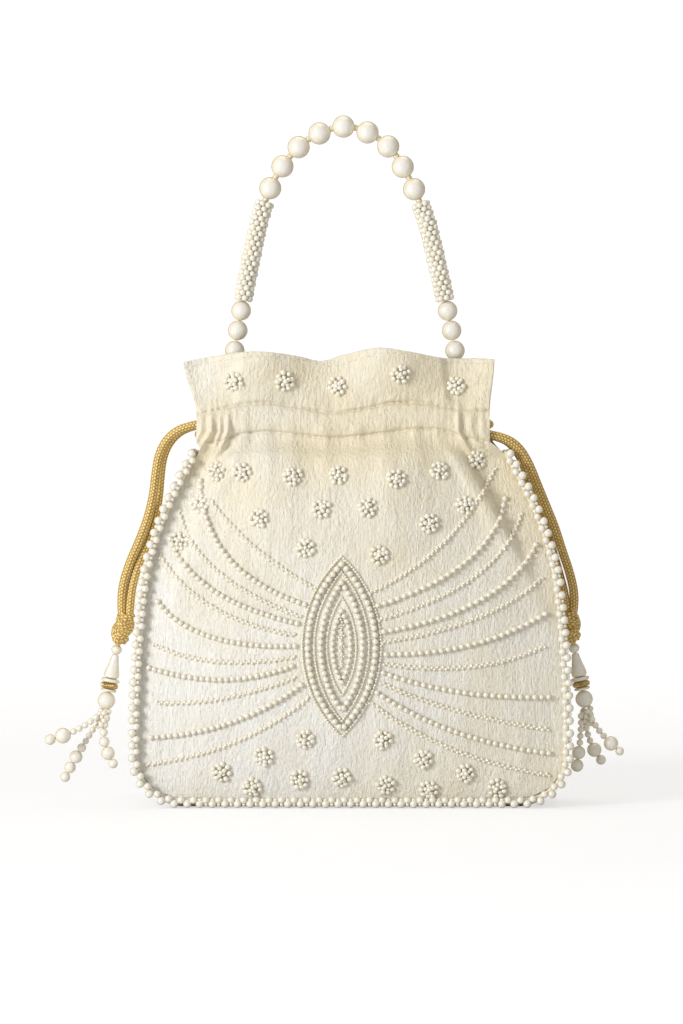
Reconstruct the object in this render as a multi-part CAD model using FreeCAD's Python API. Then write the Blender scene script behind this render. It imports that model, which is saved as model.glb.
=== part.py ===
import FreeCAD, Part
import math
import os

from FreeCAD import Vector

# Drawstring evening bag. Millimetres, +Z up, the front faces -Y, and the origin
# is the middle of the flat base. "Left" is -X, as seen from the front.

# driving dimensions of the pouch
neckHeight = 160.0
seamHeight = 5.0            # bottom edge of the front and back panels
cornerRadius = 18.0         # bottom corners of the panels
panelThickness = 1.3
gussetThickness = 1.4
liningThickness = 0.5
liningGap = 0.6
baseHalfDepth = 14.0        # flat part of the base
# height, half width, half depth at the side seam, half depth at the middle
pouchStations = [
    (5.0, 94.2, 19.7, 21.4),
    (14.0, 94.5, 20.0, 24.5),
    (30.0, 94.7, 19.8, 28.0),
    (55.0, 93.8, 18.6, 30.0),
    (80.0, 92.2, 16.8, 29.4),
    (105.0, 89.6, 14.6, 26.6),
    (125.0, 84.0, 12.4, 22.6),
    (143.0, 76.0, 10.2, 18.0),
    (160.0, 66.6, 8.4, 14.6),
]
backBulge = 2.4             # the back panel stands this much further out

# pearls and beads
trimPitch = 5.6
outerTrimDiameter = 3.1
innerTrimDiameter = 2.7
pipingDiameter = 2.0
pipingForward = 1.25        # the piping stands this far outside the side seams
motifPearlDiameter = 2.6
rayPearlDiameter = 2.3
rayPearlPitch = 3.3
rosetteDiameter = 8.6
beadStandOff = 0.35
motifCentre = (-4.2, 72.4)
# half width and half height of each pearl row of the almond motif
motifRows = [(15.0, 36.5), (9.2, 28.3), (4.0, 15.7)]
motifPearlPitch = 3.0

# mouth: one casing and one ruffle on each side
casingLeft = -67.3
casingRight = 61.3
channelHalfDepth = 10.5     # the cords run along y = -10.5 and +10.5
foldHeight = 168.6          # the casings fold about the cords
cordSpacing = 4.6           # the left cord runs above the right one
casingBottom = 162.2
casingTop = 175.6
casingDepth = 7.2
channelClearance = 0.4
ruffleBottom = 176.0
ruffleThickness = 1.6

# cords, knots and tassels
cordDiameter = 4.0
arcShare = 0.45             # share of the shorter run that an arc uses
tasselLean = 11.3           # degrees outward
capDiameter = 4.8
knotFootRise = 2.75         # knot foot above the tassel hinge
teardropDrop = 2.5          # teardrop top below the tassel hinge
# each tassel swings about the middle of its cap pearl
tasselHinges = {"left": (-105.5, 69.4), "right": (100.5, 70.1)}
knotTops = {"left": (-100.8, 85.3), "right": (98.0, 86.4)}
threadDiameter = 0.7

# handle
handleFoot = 204.0          # height of the hinge through the two anchor pearls
anchorDiameter = 8.8
archPearlDiameter = 10.0
lowerPearlDiameter = 8.9
spacerDiameter = 2.8
spacerLength = 1.0
stringingGap = 0.12         # left between one piece of the handle and the next
sleeveLength = 45.7
sleeveCoreDiameter = 3.6
sleeveRings = 20
seedsRound = 7
seedDiameter = 2.5
handleWireDiameter = 0.8
boreDiameter = 2.0

os.makedirs("parts", exist_ok=True)
written = []


def save(name, shape):
    """Write one node and report its volume and whether it is valid."""
    shape.exportStep("parts/" + name + ".step")
    written.append(name)
    print(f"{name}: {len(shape.Solids)} solids, {shape.Volume:.1f} mm3, valid {shape.isValid()}")


def group(solids):
    """Several separate solids kept in one node."""
    return Part.makeCompound(solids)


# --- the pouch's form ---------------------------------------------------------

def blend_station(height, column):
    """Read a column of the stations with a smooth curve through them."""
    rows = pouchStations
    if height <= rows[0][0]:
        return rows[0][column]
    last = len(rows) - 1
    i = 0
    while i < last - 1 and height > rows[i + 1][0]:
        i += 1
    low, high = rows[i], rows[i + 1]
    before, after = rows[max(i - 1, 0)], rows[min(i + 2, last)]
    span = high[0] - low[0]
    slope_low = (high[column] - before[column]) / (high[0] - before[0])
    slope_high = (after[column] - low[column]) / (after[0] - low[0])
    t = (height - low[0]) / span
    return (
        (2 * t**3 - 3 * t**2 + 1) * low[column]
        + (t**3 - 2 * t**2 + t) * span * slope_low
        + (3 * t**2 - 2 * t**3) * high[column]
        + (t**3 - t**2) * span * slope_high
    )


def half_width(height):
    """Half width of the panels, with their rounded bottom corners."""
    width = blend_station(height, 1)
    drop = cornerRadius - (height - seamHeight)
    if drop <= 0:
        return width
    return width - cornerRadius + math.sqrt(max(cornerRadius**2 - drop**2, 0.0))


def seam_depth(height):
    return blend_station(height, 2)


def belly_depth(height, side):
    """Half depth at the middle; side is -1 at the front and 1 at the back."""
    bulge = 0.0
    if side > 0:
        bulge = backBulge * math.sin(math.pi * min(max(height / neckHeight, 0), 1))
    return blend_station(height, 3) + bulge


def panel_y(x, height, side):
    """Outer surface of a panel: an arc through both seams and the belly."""
    width = half_width(height)
    seam = seam_depth(height)
    rise = belly_depth(height, side) - seam
    radius = (width**2 + rise**2) / (2 * rise)
    return side * (seam + rise - radius + math.sqrt(radius**2 - x**2))


def section_heights(bottom, top):
    """Levels for lofting: close together round the bottom corners."""
    heights = [bottom]
    for angle in range(24, 91, 11):
        level = seamHeight + cornerRadius * (1 - math.cos(math.radians(angle)))
        if level > bottom + 0.8:
            heights.append(level)
    level = 32.0
    while level < top - 5:
        heights.append(level)
        level += 12.8
    heights.append(top)
    return heights


def panel_section(height, side):
    """One closed section of a panel: outer arc, inner arc and two sewn edges."""
    width = half_width(height)
    edge = side * (seam_depth(height) + 0.1)
    belly = side * belly_depth(height, side)
    inner_width = width - panelThickness * 1.2
    inner_belly = belly - side * panelThickness
    outer_left = Vector(-width, edge, height)
    outer_right = Vector(width, edge, height)
    inner_right = Vector(inner_width, edge, height)
    inner_left = Vector(-inner_width, edge, height)
    outer = Part.Arc(outer_left, Vector(0, belly, height), outer_right).toShape()
    inner = Part.Arc(inner_right, Vector(0, inner_belly, height), inner_left).toShape()
    sewn_right = Part.LineSegment(outer_right, inner_right).toShape()
    sewn_left = Part.LineSegment(inner_left, outer_left).toShape()
    return Part.Wire([outer, sewn_right, inner, sewn_left])


def make_panel(side):
    levels = section_heights(seamHeight, neckHeight)
    return Part.makeLoft([panel_section(z, side) for z in levels], True, False)


def ring_section(height, inset):
    """A closed section of the lining: two arcs joined by straight sides."""
    width = half_width(height) - gussetThickness - liningGap - inset
    seam = seam_depth(height) - 0.6 - inset
    points = []
    for side in (-1, 1):
        belly = side * (belly_depth(height, side) - panelThickness - liningGap - inset)
        left = Vector(-width, side * seam, height)
        right = Vector(width, side * seam, height)
        points.append((left, Vector(0, belly, height), right))
    front, back = points
    return Part.Wire([
        Part.Arc(*front).toShape(),
        Part.LineSegment(front[2], back[2]).toShape(),
        Part.Arc(back[2], back[1], back[0]).toShape(),
        Part.LineSegment(back[0], front[0]).toShape(),
    ])


def make_lining():
    bottom = 8.0
    outer_levels = section_heights(bottom, neckHeight - 0.5)
    inner_levels = section_heights(bottom + liningThickness, neckHeight - 0.5)
    outer = Part.makeLoft([ring_section(z, 0) for z in outer_levels], True, False)
    inner = Part.makeLoft([ring_section(z, liningThickness) for z in inner_levels], True, False)
    return outer.cut(inner)


def outline_face(inset):
    """The bag's outline seen from the front, closed across the neck, as a face."""
    radius = cornerRadius + 2 - inset
    side_levels = [24, 40, 60, 80, 100, 115, 130, 145, neckHeight]
    right = [Vector(half_width(z) - inset, 0, z) for z in side_levels]
    corner_x = right[0].x - radius
    bottom = inset
    corner_z = bottom + radius
    right.insert(0, Vector(right[0].x, 0, corner_z))
    left = [Vector(-p.x, 0, p.z) for p in right]
    edge = Part.BSplineCurve()
    edge.interpolate(right)
    mirrored = Part.BSplineCurve()
    mirrored.interpolate(left)
    diagonal = radius * math.sqrt(0.5)
    right_arc = Part.Arc(
        Vector(corner_x, 0, bottom),
        Vector(corner_x + diagonal, 0, corner_z - diagonal),
        right[0],
    )
    left_arc = Part.Arc(
        Vector(-corner_x, 0, bottom),
        Vector(-corner_x - diagonal, 0, corner_z - diagonal),
        left[0],
    )
    floor = Part.LineSegment(Vector(-corner_x, 0, bottom), Vector(corner_x, 0, bottom))
    top = Part.LineSegment(left[-1], right[-1])
    edges = [floor, right_arc, edge, top, mirrored, left_arc]
    wire = Part.Wire(Part.__sortEdges__([e.toShape() for e in edges]))
    return Part.Face(wire)


def depth_face(x, points, top):
    """A face across the bag's depth from points (half depth, height) on one side."""
    right = [Vector(x, y, z) for y, z in points] + [Vector(x, points[-1][0], top)]
    loop = right + [Vector(x, -p.y, p.z) for p in reversed(right)]
    return Part.Face(Part.makePolygon(loop + [loop[0]]))


def make_gusset():
    """Side and bottom strip: a tray with sloping long edges and two sides."""
    deep = 30.0
    wide = 110.0
    seam_levels = [5, 20, 40, 60, 80, 100, 120, 140, neckHeight]
    outer_points = [(baseHalfDepth, 0.0)] + [(seam_depth(z), z) for z in seam_levels]
    slope = (seam_levels[0] - 0.0) / (seam_depth(5) - baseHalfDepth)
    floor_edge = baseHalfDepth - 0.55
    inner_points = [
        (floor_edge, gussetThickness),
        (deep, gussetThickness + (deep - floor_edge) * slope),
    ]
    outer = outline_face(0).extrude(Vector(0, 2 * deep, 0))
    outer.translate(Vector(0, -deep, 0))
    outer = outer.common(depth_face(-wide, outer_points, neckHeight).extrude(Vector(2 * wide, 0, 0)))
    inner = outline_face(gussetThickness).extrude(Vector(0, 2 * deep, 0))
    inner.translate(Vector(0, -deep, 0))
    slab = depth_face(-wide, inner_points, neckHeight + 5).extrude(Vector(2 * wide, 0, 0))
    return outer.cut(inner.common(slab))


def make_base_board():
    board = Part.makeBox(146, 24, 2.0, Vector(-73, -12, 2.2))
    upright = [e for e in board.Edges if abs(e.tangentAt(e.FirstParameter).z) > 0.9]
    return board.makeFillet(5.0, upright)


# --- routes: straight runs joined by tangent arcs ------------------------------

def route_wire(points, share=arcShare):
    """Return the wire through a list of points and the radius at each corner."""
    edges = []
    radii = []
    start = points[0]
    for before, corner, after in zip(points, points[1:], points[2:]):
        run_in = corner - before
        run_out = after - corner
        shorter = min(run_in.Length, run_out.Length)
        toward = Vector(run_in).normalize()
        away = Vector(run_out).normalize()
        turn = toward.getAngle(away)
        trim = share * shorter
        radius = trim / math.tan(turn / 2)
        bisector = (away - toward).normalize()
        centre = corner + bisector * (radius / math.cos(turn / 2))
        arc_start = corner - toward * trim
        arc_end = corner + away * trim
        edges.append(Part.LineSegment(start, arc_start).toShape())
        edges.append(Part.Arc(arc_start, centre - bisector * radius, arc_end).toShape())
        start = arc_end
        radii.append(radius)
    edges.append(Part.LineSegment(start, points[-1]).toShape())
    return Part.Wire(edges), radii


def tube(name, points, diameter, share=arcShare):
    """A round tube along a route; prints its radii and compares its volume."""
    wire, radii = route_wire(points, share)
    direction = points[1] - points[0]
    ring = Part.Wire([Part.Circle(points[0], direction, diameter / 2).toShape()])
    shape = wire.makePipeShell([ring], True, False)
    expected = math.pi * diameter**2 / 4 * wire.Length
    listed = ", ".join(f"{r:.1f}" for r in radii)
    print(f"{name}: length {wire.Length:.1f}, volume ratio {shape.Volume / expected:.4f}, radii {listed}")
    return Part.Solid(shape) if shape.ShapeType == "Shell" else shape


def place_on(wire, distance):
    """The point and direction at a distance along a wire."""
    left = distance
    for edge in wire.OrderedEdges:
        if left <= edge.Length + 1e-6:
            parameter = edge.getParameterByLength(min(max(left, 0.0), edge.Length))
            return edge.valueAt(parameter), edge.tangentAt(parameter)
        left -= edge.Length
    last = wire.OrderedEdges[-1]
    return last.valueAt(last.LastParameter), last.tangentAt(last.LastParameter)


def aim(shape, direction, position):
    """Turn a shape made along +Z to a direction and move it into place."""
    turned = shape.copy()
    turned.Placement = FreeCAD.Placement(
        position, FreeCAD.Rotation(Vector(0, 0, 1), direction)
    )
    return turned


# --- pearls and beads ----------------------------------------------------------

def pearl(diameter, centre, direction=None, bore=0.0):
    """A round pearl, bored along its direction if it has one."""
    ball = Part.makeSphere(diameter / 2)
    if bore:
        hole = Part.makeCylinder(bore / 2, diameter * 1.4, Vector(0, 0, -0.7 * diameter))
        ball = ball.cut(hole)
    return aim(ball, direction or Vector(0, 0, 1), centre)


def disc(diameter, length, bore, direction, centre):
    """A bored disc or ring with a rounded rim, centred on its own middle."""
    radius = diameter / 2
    rim = min(length * 0.35, radius * 0.4)
    body = Part.makeCylinder(radius, length, Vector(0, 0, -length / 2))
    body = body.makeFillet(rim, [e for e in body.Edges if e.Closed])
    body = body.cut(Part.makeCylinder(bore / 2, length * 2, Vector(0, 0, -length)))
    return aim(body, direction, centre)


def seam_route(side):
    """The piping cord's route: down one side seam, along the base, up the other."""
    outset = pipingDiameter / 2 + 0.6
    corner_z = seamHeight - outset
    levels = [neckHeight - 1.0, 142.0, 124.0, 104.0, 78.0, 46.0]
    depths = [seam_depth(z) + pipingForward for z in levels]
    left = [Vector(-half_width(z) - outset, side * y, z) for z, y in zip(levels, depths)]
    corner_x = blend_station(seamHeight, 1) + outset
    left.append(Vector(-corner_x, side * (20.0 + pipingForward), corner_z))
    return left + [Vector(-p.x, p.y, p.z) for p in reversed(left)]


def trim_pearls(wire, side, diameter, outward, forward, first):
    """A row of pearls beside the piping cord, one every pitch."""
    count = int((wire.Length - 2 * first) / trimPitch)
    pearls = []
    for i in range(count + 1):
        point, along = place_on(wire, first + i * trimPitch)
        out = Vector(along.z, 0, -along.x).normalize() * -1
        centre = point + out * -outward + Vector(0, side * forward, 0)
        centre.z = max(centre.z, diameter / 2 + 0.05)
        pearls.append(pearl(diameter, centre))
    return group(pearls)


def almond_point(half, high, turn):
    """A point of the pointed oval: two circle arcs meeting at the tips."""
    radius = (half**2 + high**2) / (2 * half)
    sweep = math.asin(high / radius)
    upper_angle = sweep * math.cos(turn)
    x = radius * math.cos(upper_angle) - (radius - half)
    if math.sin(turn) < 0:
        x = -x
    return motifCentre[0] + x, motifCentre[1] + radius * math.sin(upper_angle)


def on_front(x, height, stand):
    """A point standing off the front panel."""
    return Vector(x, panel_y(x, height, -1) - stand, height)


def spaced(points, pitch, closed=False):
    """Pick positions one pitch apart along a fine chain of points."""
    picked = [points[0]]
    travelled = 0.0
    for a, b in zip(points, points[1:]):
        travelled += (b - a).Length
        if travelled >= pitch * len(picked):
            picked.append(b)
    if closed and (picked[-1] - picked[0]).Length < pitch * 0.9:
        picked.pop()
    return picked


def make_motif():
    pearls = []
    stand = motifPearlDiameter / 2 + beadStandOff
    for half, high in motifRows:
        turns = [2 * math.pi * i / 1500 for i in range(1501)]
        chain = [on_front(*almond_point(half, high, turn), stand) for turn in turns]
        for centre in spaced(chain, motifPearlPitch, closed=True):
            pearls.append(pearl(motifPearlDiameter, centre))
    return group(pearls)


# rows of pearls that sweep out from the motif: the height where each row ends
rayEnds = {"left": [145, 119, 91, 62, 31], "right": [138, 117, 86, 49, 24]}
raySag = [11.0, 10.0, 6.0, 4.0, 4.5]


def make_rays(side):
    """Five sagging pearl rows from the motif to the side seam."""
    sign = -1 if side == "left" else 1
    stand = rayPearlDiameter / 2 + beadStandOff
    pearls = []
    for i, end_height in enumerate(rayEnds[side]):
        start_height = 91.5 - 9.6 * i
        start_x = almond_width(start_height) + 3.0
        end_x = half_width(end_height) - 7.0
        chain = []
        for step in range(601):
            u = step / 600
            x = (1 - u) * (motifCentre[0] + sign * start_x) + u * sign * end_x
            height = start_height + (end_height - start_height) * u
            height -= raySag[i] * 6.75 * u**2 * (1 - u)
            chain.append(on_front(x, height, stand))
        for centre in spaced(chain, rayPearlPitch):
            if clear_of_rosettes(centre):
                pearls.append(pearl(rayPearlDiameter, centre))
    return group(pearls)


def clear_of_rosettes(centre):
    """Whether a ray pearl leaves room for every rosette."""
    room = rosetteDiameter / 2 + rayPearlDiameter / 2 + 0.5
    return all(math.hypot(centre.x - x, centre.z - z) > room for x, z in rosetteSpots)


def almond_width(height):
    """Half width of the motif's outer edge at a height."""
    half, high = 17.5, 40.0
    radius = (half**2 + high**2) / (2 * half)
    rise = height - motifCentre[1]
    return math.sqrt(radius**2 - rise**2) - (radius - half)


# rosettes on the front panel: x and height of each
rosetteSpots = [
    (-60.0, 150.0), (-48.5, 149.5), (-26.0, 147.0), (-5.8, 148.0), (20.0, 146.5), (39.2, 150.0),
    (-41.0, 129.0), (-13.2, 133.3), (7.5, 133.8), (34.6, 126.8), (-20.2, 116.0), (12.5, 112.8),
    (-67.5, 135.5), (51.0, 135.0), (-20.2, 31.0), (-38.8, 23.3), (-57.8, 16.5), (-23.0, 13.0),
    (-4.1, 13.9), (14.0, 31.0), (32.0, 22.2), (50.8, 15.7), (15.4, 11.5),
]
ruffleSpots = [-52.3, -29.8, -6.2, 22.1, 46.7]
rosetteRise = 2.0


def rosette(centre, outward):
    """A low dome that stands for one bead rosette."""
    base = rosetteDiameter / 2
    radius = (base**2 + rosetteRise**2) / (2 * rosetteRise)
    ball = Part.makeSphere(radius, Vector(0, 0, rosetteRise - radius))
    block = Part.makeBox(rosetteDiameter, rosetteDiameter, radius, Vector(-base, -base, 0))
    return aim(ball.common(block), outward, centre)


def make_body_rosettes():
    domes = []
    for x, height in rosetteSpots:
        step = 1.0
        across = (panel_y(x + step, height, -1) - panel_y(x - step, height, -1)) / (2 * step)
        upward = (panel_y(x, height + step, -1) - panel_y(x, height - step, -1)) / (2 * step)
        outward = Vector(across, -1, upward).normalize()
        domes.append(rosette(on_front(x, height, beadStandOff), outward))
    return group(domes)


# --- the mouth -----------------------------------------------------------------

def stadium(x, y, centre_height, half_height, radius):
    """A face shaped like a slot, in the plane across the casing."""
    low = centre_height - half_height + radius
    high = centre_height + half_height - radius
    edges = [
        Part.LineSegment(Vector(x, y - radius, low), Vector(x, y - radius, high)),
        Part.Arc(
            Vector(x, y - radius, high), Vector(x, y, high + radius), Vector(x, y + radius, high)
        ),
        Part.LineSegment(Vector(x, y + radius, high), Vector(x, y + radius, low)),
        Part.Arc(Vector(x, y + radius, low), Vector(x, y, low - radius), Vector(x, y - radius, low)),
    ]
    return Part.Face(Part.Wire([e.toShape() for e in edges]))


def make_casing(side):
    """The sewn channel: a flat tube round both drawcords."""
    y = side * channelHalfDepth
    middle = (casingBottom + casingTop) / 2
    span = Vector(casingRight - casingLeft, 0, 0)
    half_height = (casingTop - casingBottom) / 2
    body = stadium(casingLeft, y, middle, half_height, casingDepth / 2).extrude(span)
    passage_radius = cordDiameter / 2 + channelClearance
    passage = stadium(casingLeft, y, foldHeight, cordSpacing / 2 + passage_radius, passage_radius)
    return body.cut(passage.extrude(span))


def swell(x):
    """The mouth's waves: one crest either side of a dip near the middle."""
    return math.cos(2 * math.pi * (x - 19.0) / 59.0)


def rim_height(x):
    """The ruffle's wavy rim."""
    return 201.2 + 1.6 * swell(x)


def ruffle_wave(x, side):
    """How far the rim swings in and out along the mouth."""
    return side * (1.0 + 1.6 * swell(x))


def make_ruffle(side):
    """A standing frill: thin upright sections lofted along the mouth."""
    sections = []
    count = 17
    for i in range(count):
        share = i / (count - 1)
        top_x = -74.0 + 137.5 * share
        low_x = -69.5 + 130.5 * share
        half = ruffleThickness / 2
        y_low = side * channelHalfDepth
        y_top = side * (channelHalfDepth + 1.2) + ruffle_wave(top_x, side)
        rim = rim_height(top_x)
        corners = [
            Vector(low_x, y_low - half, ruffleBottom),
            Vector(top_x, y_top - half, rim),
            Vector(top_x, y_top + half, rim),
            Vector(low_x, y_low + half, ruffleBottom),
        ]
        sections.append(Part.makePolygon(corners + [corners[0]]))
    return Part.makeLoft(sections, True, False)


def make_ruffle_rosettes():
    domes = []
    height = 188.5
    share = (height - ruffleBottom) / (rim_height(0) - ruffleBottom)
    for x in ruffleSpots:
        y_top = -(channelHalfDepth + 1.2) + ruffle_wave(x, -1)
        y = -channelHalfDepth * (1 - share) + y_top * share
        outward = Vector(0, -1, (y_top + channelHalfDepth) / (rim_height(0) - ruffleBottom))
        front = y - ruffleThickness / 2 - 0.6
        domes.append(rosette(Vector(x, front, height), outward.normalize()))
    return group(domes)


# --- drawcords -----------------------------------------------------------------

def make_cord_runs(side):
    """The two straight runs of one drawcord inside the casings."""
    level = foldHeight + (cordSpacing / 2 if side == "left" else -cordSpacing / 2)
    runs = []
    for y in (-channelHalfDepth, channelHalfDepth):
        start = Vector(casingLeft, y, level)
        span = casingRight - casingLeft
        runs.append(Part.makeCylinder(cordDiameter / 2, span, start, Vector(1, 0, 0)))
    return group(runs)


def make_far_loop(side):
    """Where a drawcord turns from the front casing into the back one."""
    level = foldHeight + (cordSpacing / 2 if side == "left" else -cordSpacing / 2)
    reach = 3.4
    if side == "left":
        start, out = casingRight + 0.3, 1
    else:
        start, out = casingLeft - 0.3, -1
    y = channelHalfDepth
    points = [
        Vector(start, -y, level),
        Vector(start + out * 2.2, -y, level),
        Vector(start + out * reach, -y + 3.0, level),
        Vector(start + out * reach, y - 3.0, level),
        Vector(start + out * 2.2, y, level),
        Vector(start, y, level),
    ]
    return tube(side + "_cord_far_loop", points, cordDiameter)


# each strand's route from the casing to the knot: x, y and height
strandRoutes = {
    "left_strand_front": [
        (-67.3, -10.5, 170.9), (-74.6, -9.9, 169.8), (-81.6, -8.2, 165.4), (-86.0, -6.2, 158.0),
        (-87.6, -4.6, 148.8), (-88.7, -3.2, 139.0), (-91.2, -2.2, 128.8), (-95.0, -1.4, 118.8),
        (-99.4, -0.8, 109.0), (-102.6, -0.4, 99.2), (-103.4, 0.0, 89.6), (-102.8, 0.0, 84.0),
    ],
    "left_strand_back": [
        (-67.3, 10.5, 170.9), (-74.2, 9.9, 169.6), (-80.8, 8.4, 164.8), (-84.8, 6.6, 157.0),
        (-86.0, 5.0, 147.6), (-86.6, 3.6, 137.6), (-88.4, 2.4, 127.4), (-91.8, 1.6, 117.4),
        (-95.8, 0.9, 107.6), (-98.6, 0.4, 98.0), (-99.5, 0.0, 88.8), (-99.9, 0.0, 84.0),
    ],
    "right_strand_front": [
        (61.3, -10.5, 166.3), (68.8, -9.9, 165.2), (75.6, -8.4, 160.4), (80.2, -6.4, 152.6),
        (83.8, -4.8, 143.6), (87.8, -3.4, 134.0), (91.8, -2.2, 124.4), (95.0, -1.3, 114.2),
        (98.4, -0.8, 104.6), (100.6, -0.3, 95.2), (100.4, 0.0, 88.0), (99.8, 0.0, 84.6),
    ],
    "right_strand_back": [
        (61.3, 10.5, 166.3), (68.6, 9.9, 165.0), (74.8, 8.4, 159.8), (78.6, 6.4, 151.6),
        (81.4, 4.8, 142.4), (84.6, 3.4, 132.8), (88.2, 2.4, 123.2), (91.0, 1.6, 113.2),
        (93.8, 0.9, 103.6), (96.2, 0.3, 94.6), (97.0, 0.0, 87.6), (97.2, 0.0, 84.4),
    ],
}


def lathe(profile):
    """A turned solid from (radius, height) points, closed on its own axis."""
    points = [Vector(r, 0, z) for r, z in profile]
    closed = [Vector(0, 0, profile[0][1])] + points + [Vector(0, 0, profile[-1][1])]
    face = Part.Face(Part.makePolygon(closed + [closed[0]]))
    return face.revolve(Vector(0, 0, 0), Vector(0, 0, 1), 360)


def make_knot(side):
    """The knot that ties both strands above the tassel."""
    hinge = Vector(tasselHinges[side][0], 0, tasselHinges[side][1])
    top = Vector(knotTops[side][0], 0, knotTops[side][1])
    direction = (top - hinge).normalize()
    foot = hinge + direction * knotFootRise
    length = (top - foot).Length
    profile = [
        (2.4, 0.0), (3.4, 1.2), (4.3, 4.0), (4.5, length * 0.45), (4.5, length * 0.75), (4.1, length)
    ]
    return aim(lathe(profile), direction, foot)


# --- tassels: each hangs from a hinge under its knot ----------------------------

def tassel_frame(side):
    """Where a tassel hangs from, and the direction it hangs in."""
    out = -1 if side == "left" else 1
    lean = math.radians(tasselLean)
    hinge = Vector(tasselHinges[side][0], 0, tasselHinges[side][1])
    return hinge, Vector(out * math.sin(lean), 0, -math.cos(lean))


teardropLength = 10.6
tasselBore = 1.0
# the three beaded strings of each tassel: route points and bead diameters
stringRoutes = {
    "left": [
        [(-112.6, -2.2, 40.6), (-117.0, -3.4, 37.2), (-122.6, -4.6, 33.6), (-129.6, -5.6, 30.8),
         (-137.4, -6.2, 28.6)],
        [(-111.6, 2.2, 40.2), (-115.4, 3.4, 34.8), (-119.8, 4.6, 27.6), (-125.2, 5.6, 19.0),
         (-130.2, 6.2, 9.4)],
        [(-109.2, -0.2, 40.4), (-110.8, -0.4, 35.4), (-111.6, -0.6, 29.6), (-109.6, -0.8, 22.8),
         (-106.0, -1.0, 16.2)],
    ],
    "right": [
        [(106.8, -2.2, 41.4), (108.6, -3.4, 37.8), (111.4, -4.6, 33.4), (115.6, -5.6, 28.6),
         (122.2, -6.2, 22.8)],
        [(105.4, 2.2, 40.8), (105.8, 3.4, 36.2), (107.0, 4.6, 30.6), (109.8, 5.6, 23.8),
         (114.4, 6.2, 17.4)],
        [(103.6, -0.2, 41.6), (103.8, -0.5, 36.6), (103.4, -0.8, 30.4), (102.6, -0.9, 22.6),
         (101.6, -0.9, 14.4)],
    ],
}
# the larger beads at the end of each string; small ones fill it from there to the top
stringEnds = {
    "left": [[7.0, 4.8], [4.0, 5.8, 5.1, 4.5], [3.6, 4.7, 6.0, 4.2]],
    "right": [[6.4, 3.8], [6.4, 4.4], [5.9, 5.6]],
}
stringSeedDiameter = 2.9
stringGap = 0.1


def make_tassel(side):
    hinge, down = tassel_frame(side)
    up = down * -1

    def at(distance):
        return hinge + down * distance

    save(side + "_cap_pearl", pearl(capDiameter, hinge, up, tasselBore))
    profile = [
        (1.6, 0.0), (1.9, 1.2), (2.5, 4.0), (3.2, 7.4), (3.45, 9.0), (3.2, 10.2), (2.4, teardropLength)
    ]
    drop = lathe(profile).cut(Part.makeCylinder(tasselBore / 2, teardropLength))
    save(side + "_teardrop", aim(drop, down, at(teardropDrop)))
    cursor = teardropDrop + teardropLength + 0.1
    discs = []
    for diameter, length, name in ((8.4, 1.9, ""), (7.5, 2.6, "ring"), (7.2, 1.4, "")):
        piece = disc(diameter, length, tasselBore, up, at(cursor + length / 2))
        cursor += length + 0.1
        if name:
            save(side + "_gold_ring", piece)
        else:
            discs.append(piece)
    save(side + "_discs", group(discs))
    round_diameter = 8.0
    centre = at(cursor + round_diameter / 2)
    save(side + "_round_pearl", pearl(round_diameter, centre, up, tasselBore))
    cursor += round_diameter
    thread_top = -capDiameter / 2 + 0.3
    stem = Part.makeCylinder(threadDiameter / 2, cursor - thread_top)
    threads = [aim(stem, down, at(thread_top))]
    beads = []
    for route, ends in zip(stringRoutes[side], stringEnds[side]):
        points = [Vector(*p) for p in route]
        wire = route_wire(points)[0]
        distance = wire.Length
        room = distance - sum(ends) - stringGap * len(ends)
        row = [stringSeedDiameter] * int(room / (stringSeedDiameter + stringGap)) + ends
        print(f"{side} string of {len(row)} beads")
        for diameter in reversed(row):
            distance -= (diameter + stringGap) / 2
            beads.append(pearl(diameter, place_on(wire, distance)[0]))
            distance -= (diameter + stringGap) / 2
        threads.append(tube(side + "_tassel_thread", points, threadDiameter))
    save(side + "_string_beads", group(beads))
    save(side + "_tassel_thread", group(threads))


# --- handle --------------------------------------------------------------------

# corners of the handle's line, from the left hinge over the top to the right
handleRoute = [
    (-52.2, 204.0), (-50.4, 216.0), (-46.4, 238.0), (-40.6, 265.6), (-34.2, 282.4), (-21.6, 298.4),
    (-1.6, 306.6), (17.0, 297.0), (26.4, 281.4), (34.2, 262.6), (40.4, 236.0), (45.0, 214.8),
    (46.8, 204.0),
]
archPearls = 9


def handle_wire_route():
    return route_wire([Vector(x, 0, z) for x, z in handleRoute])[0]


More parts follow.
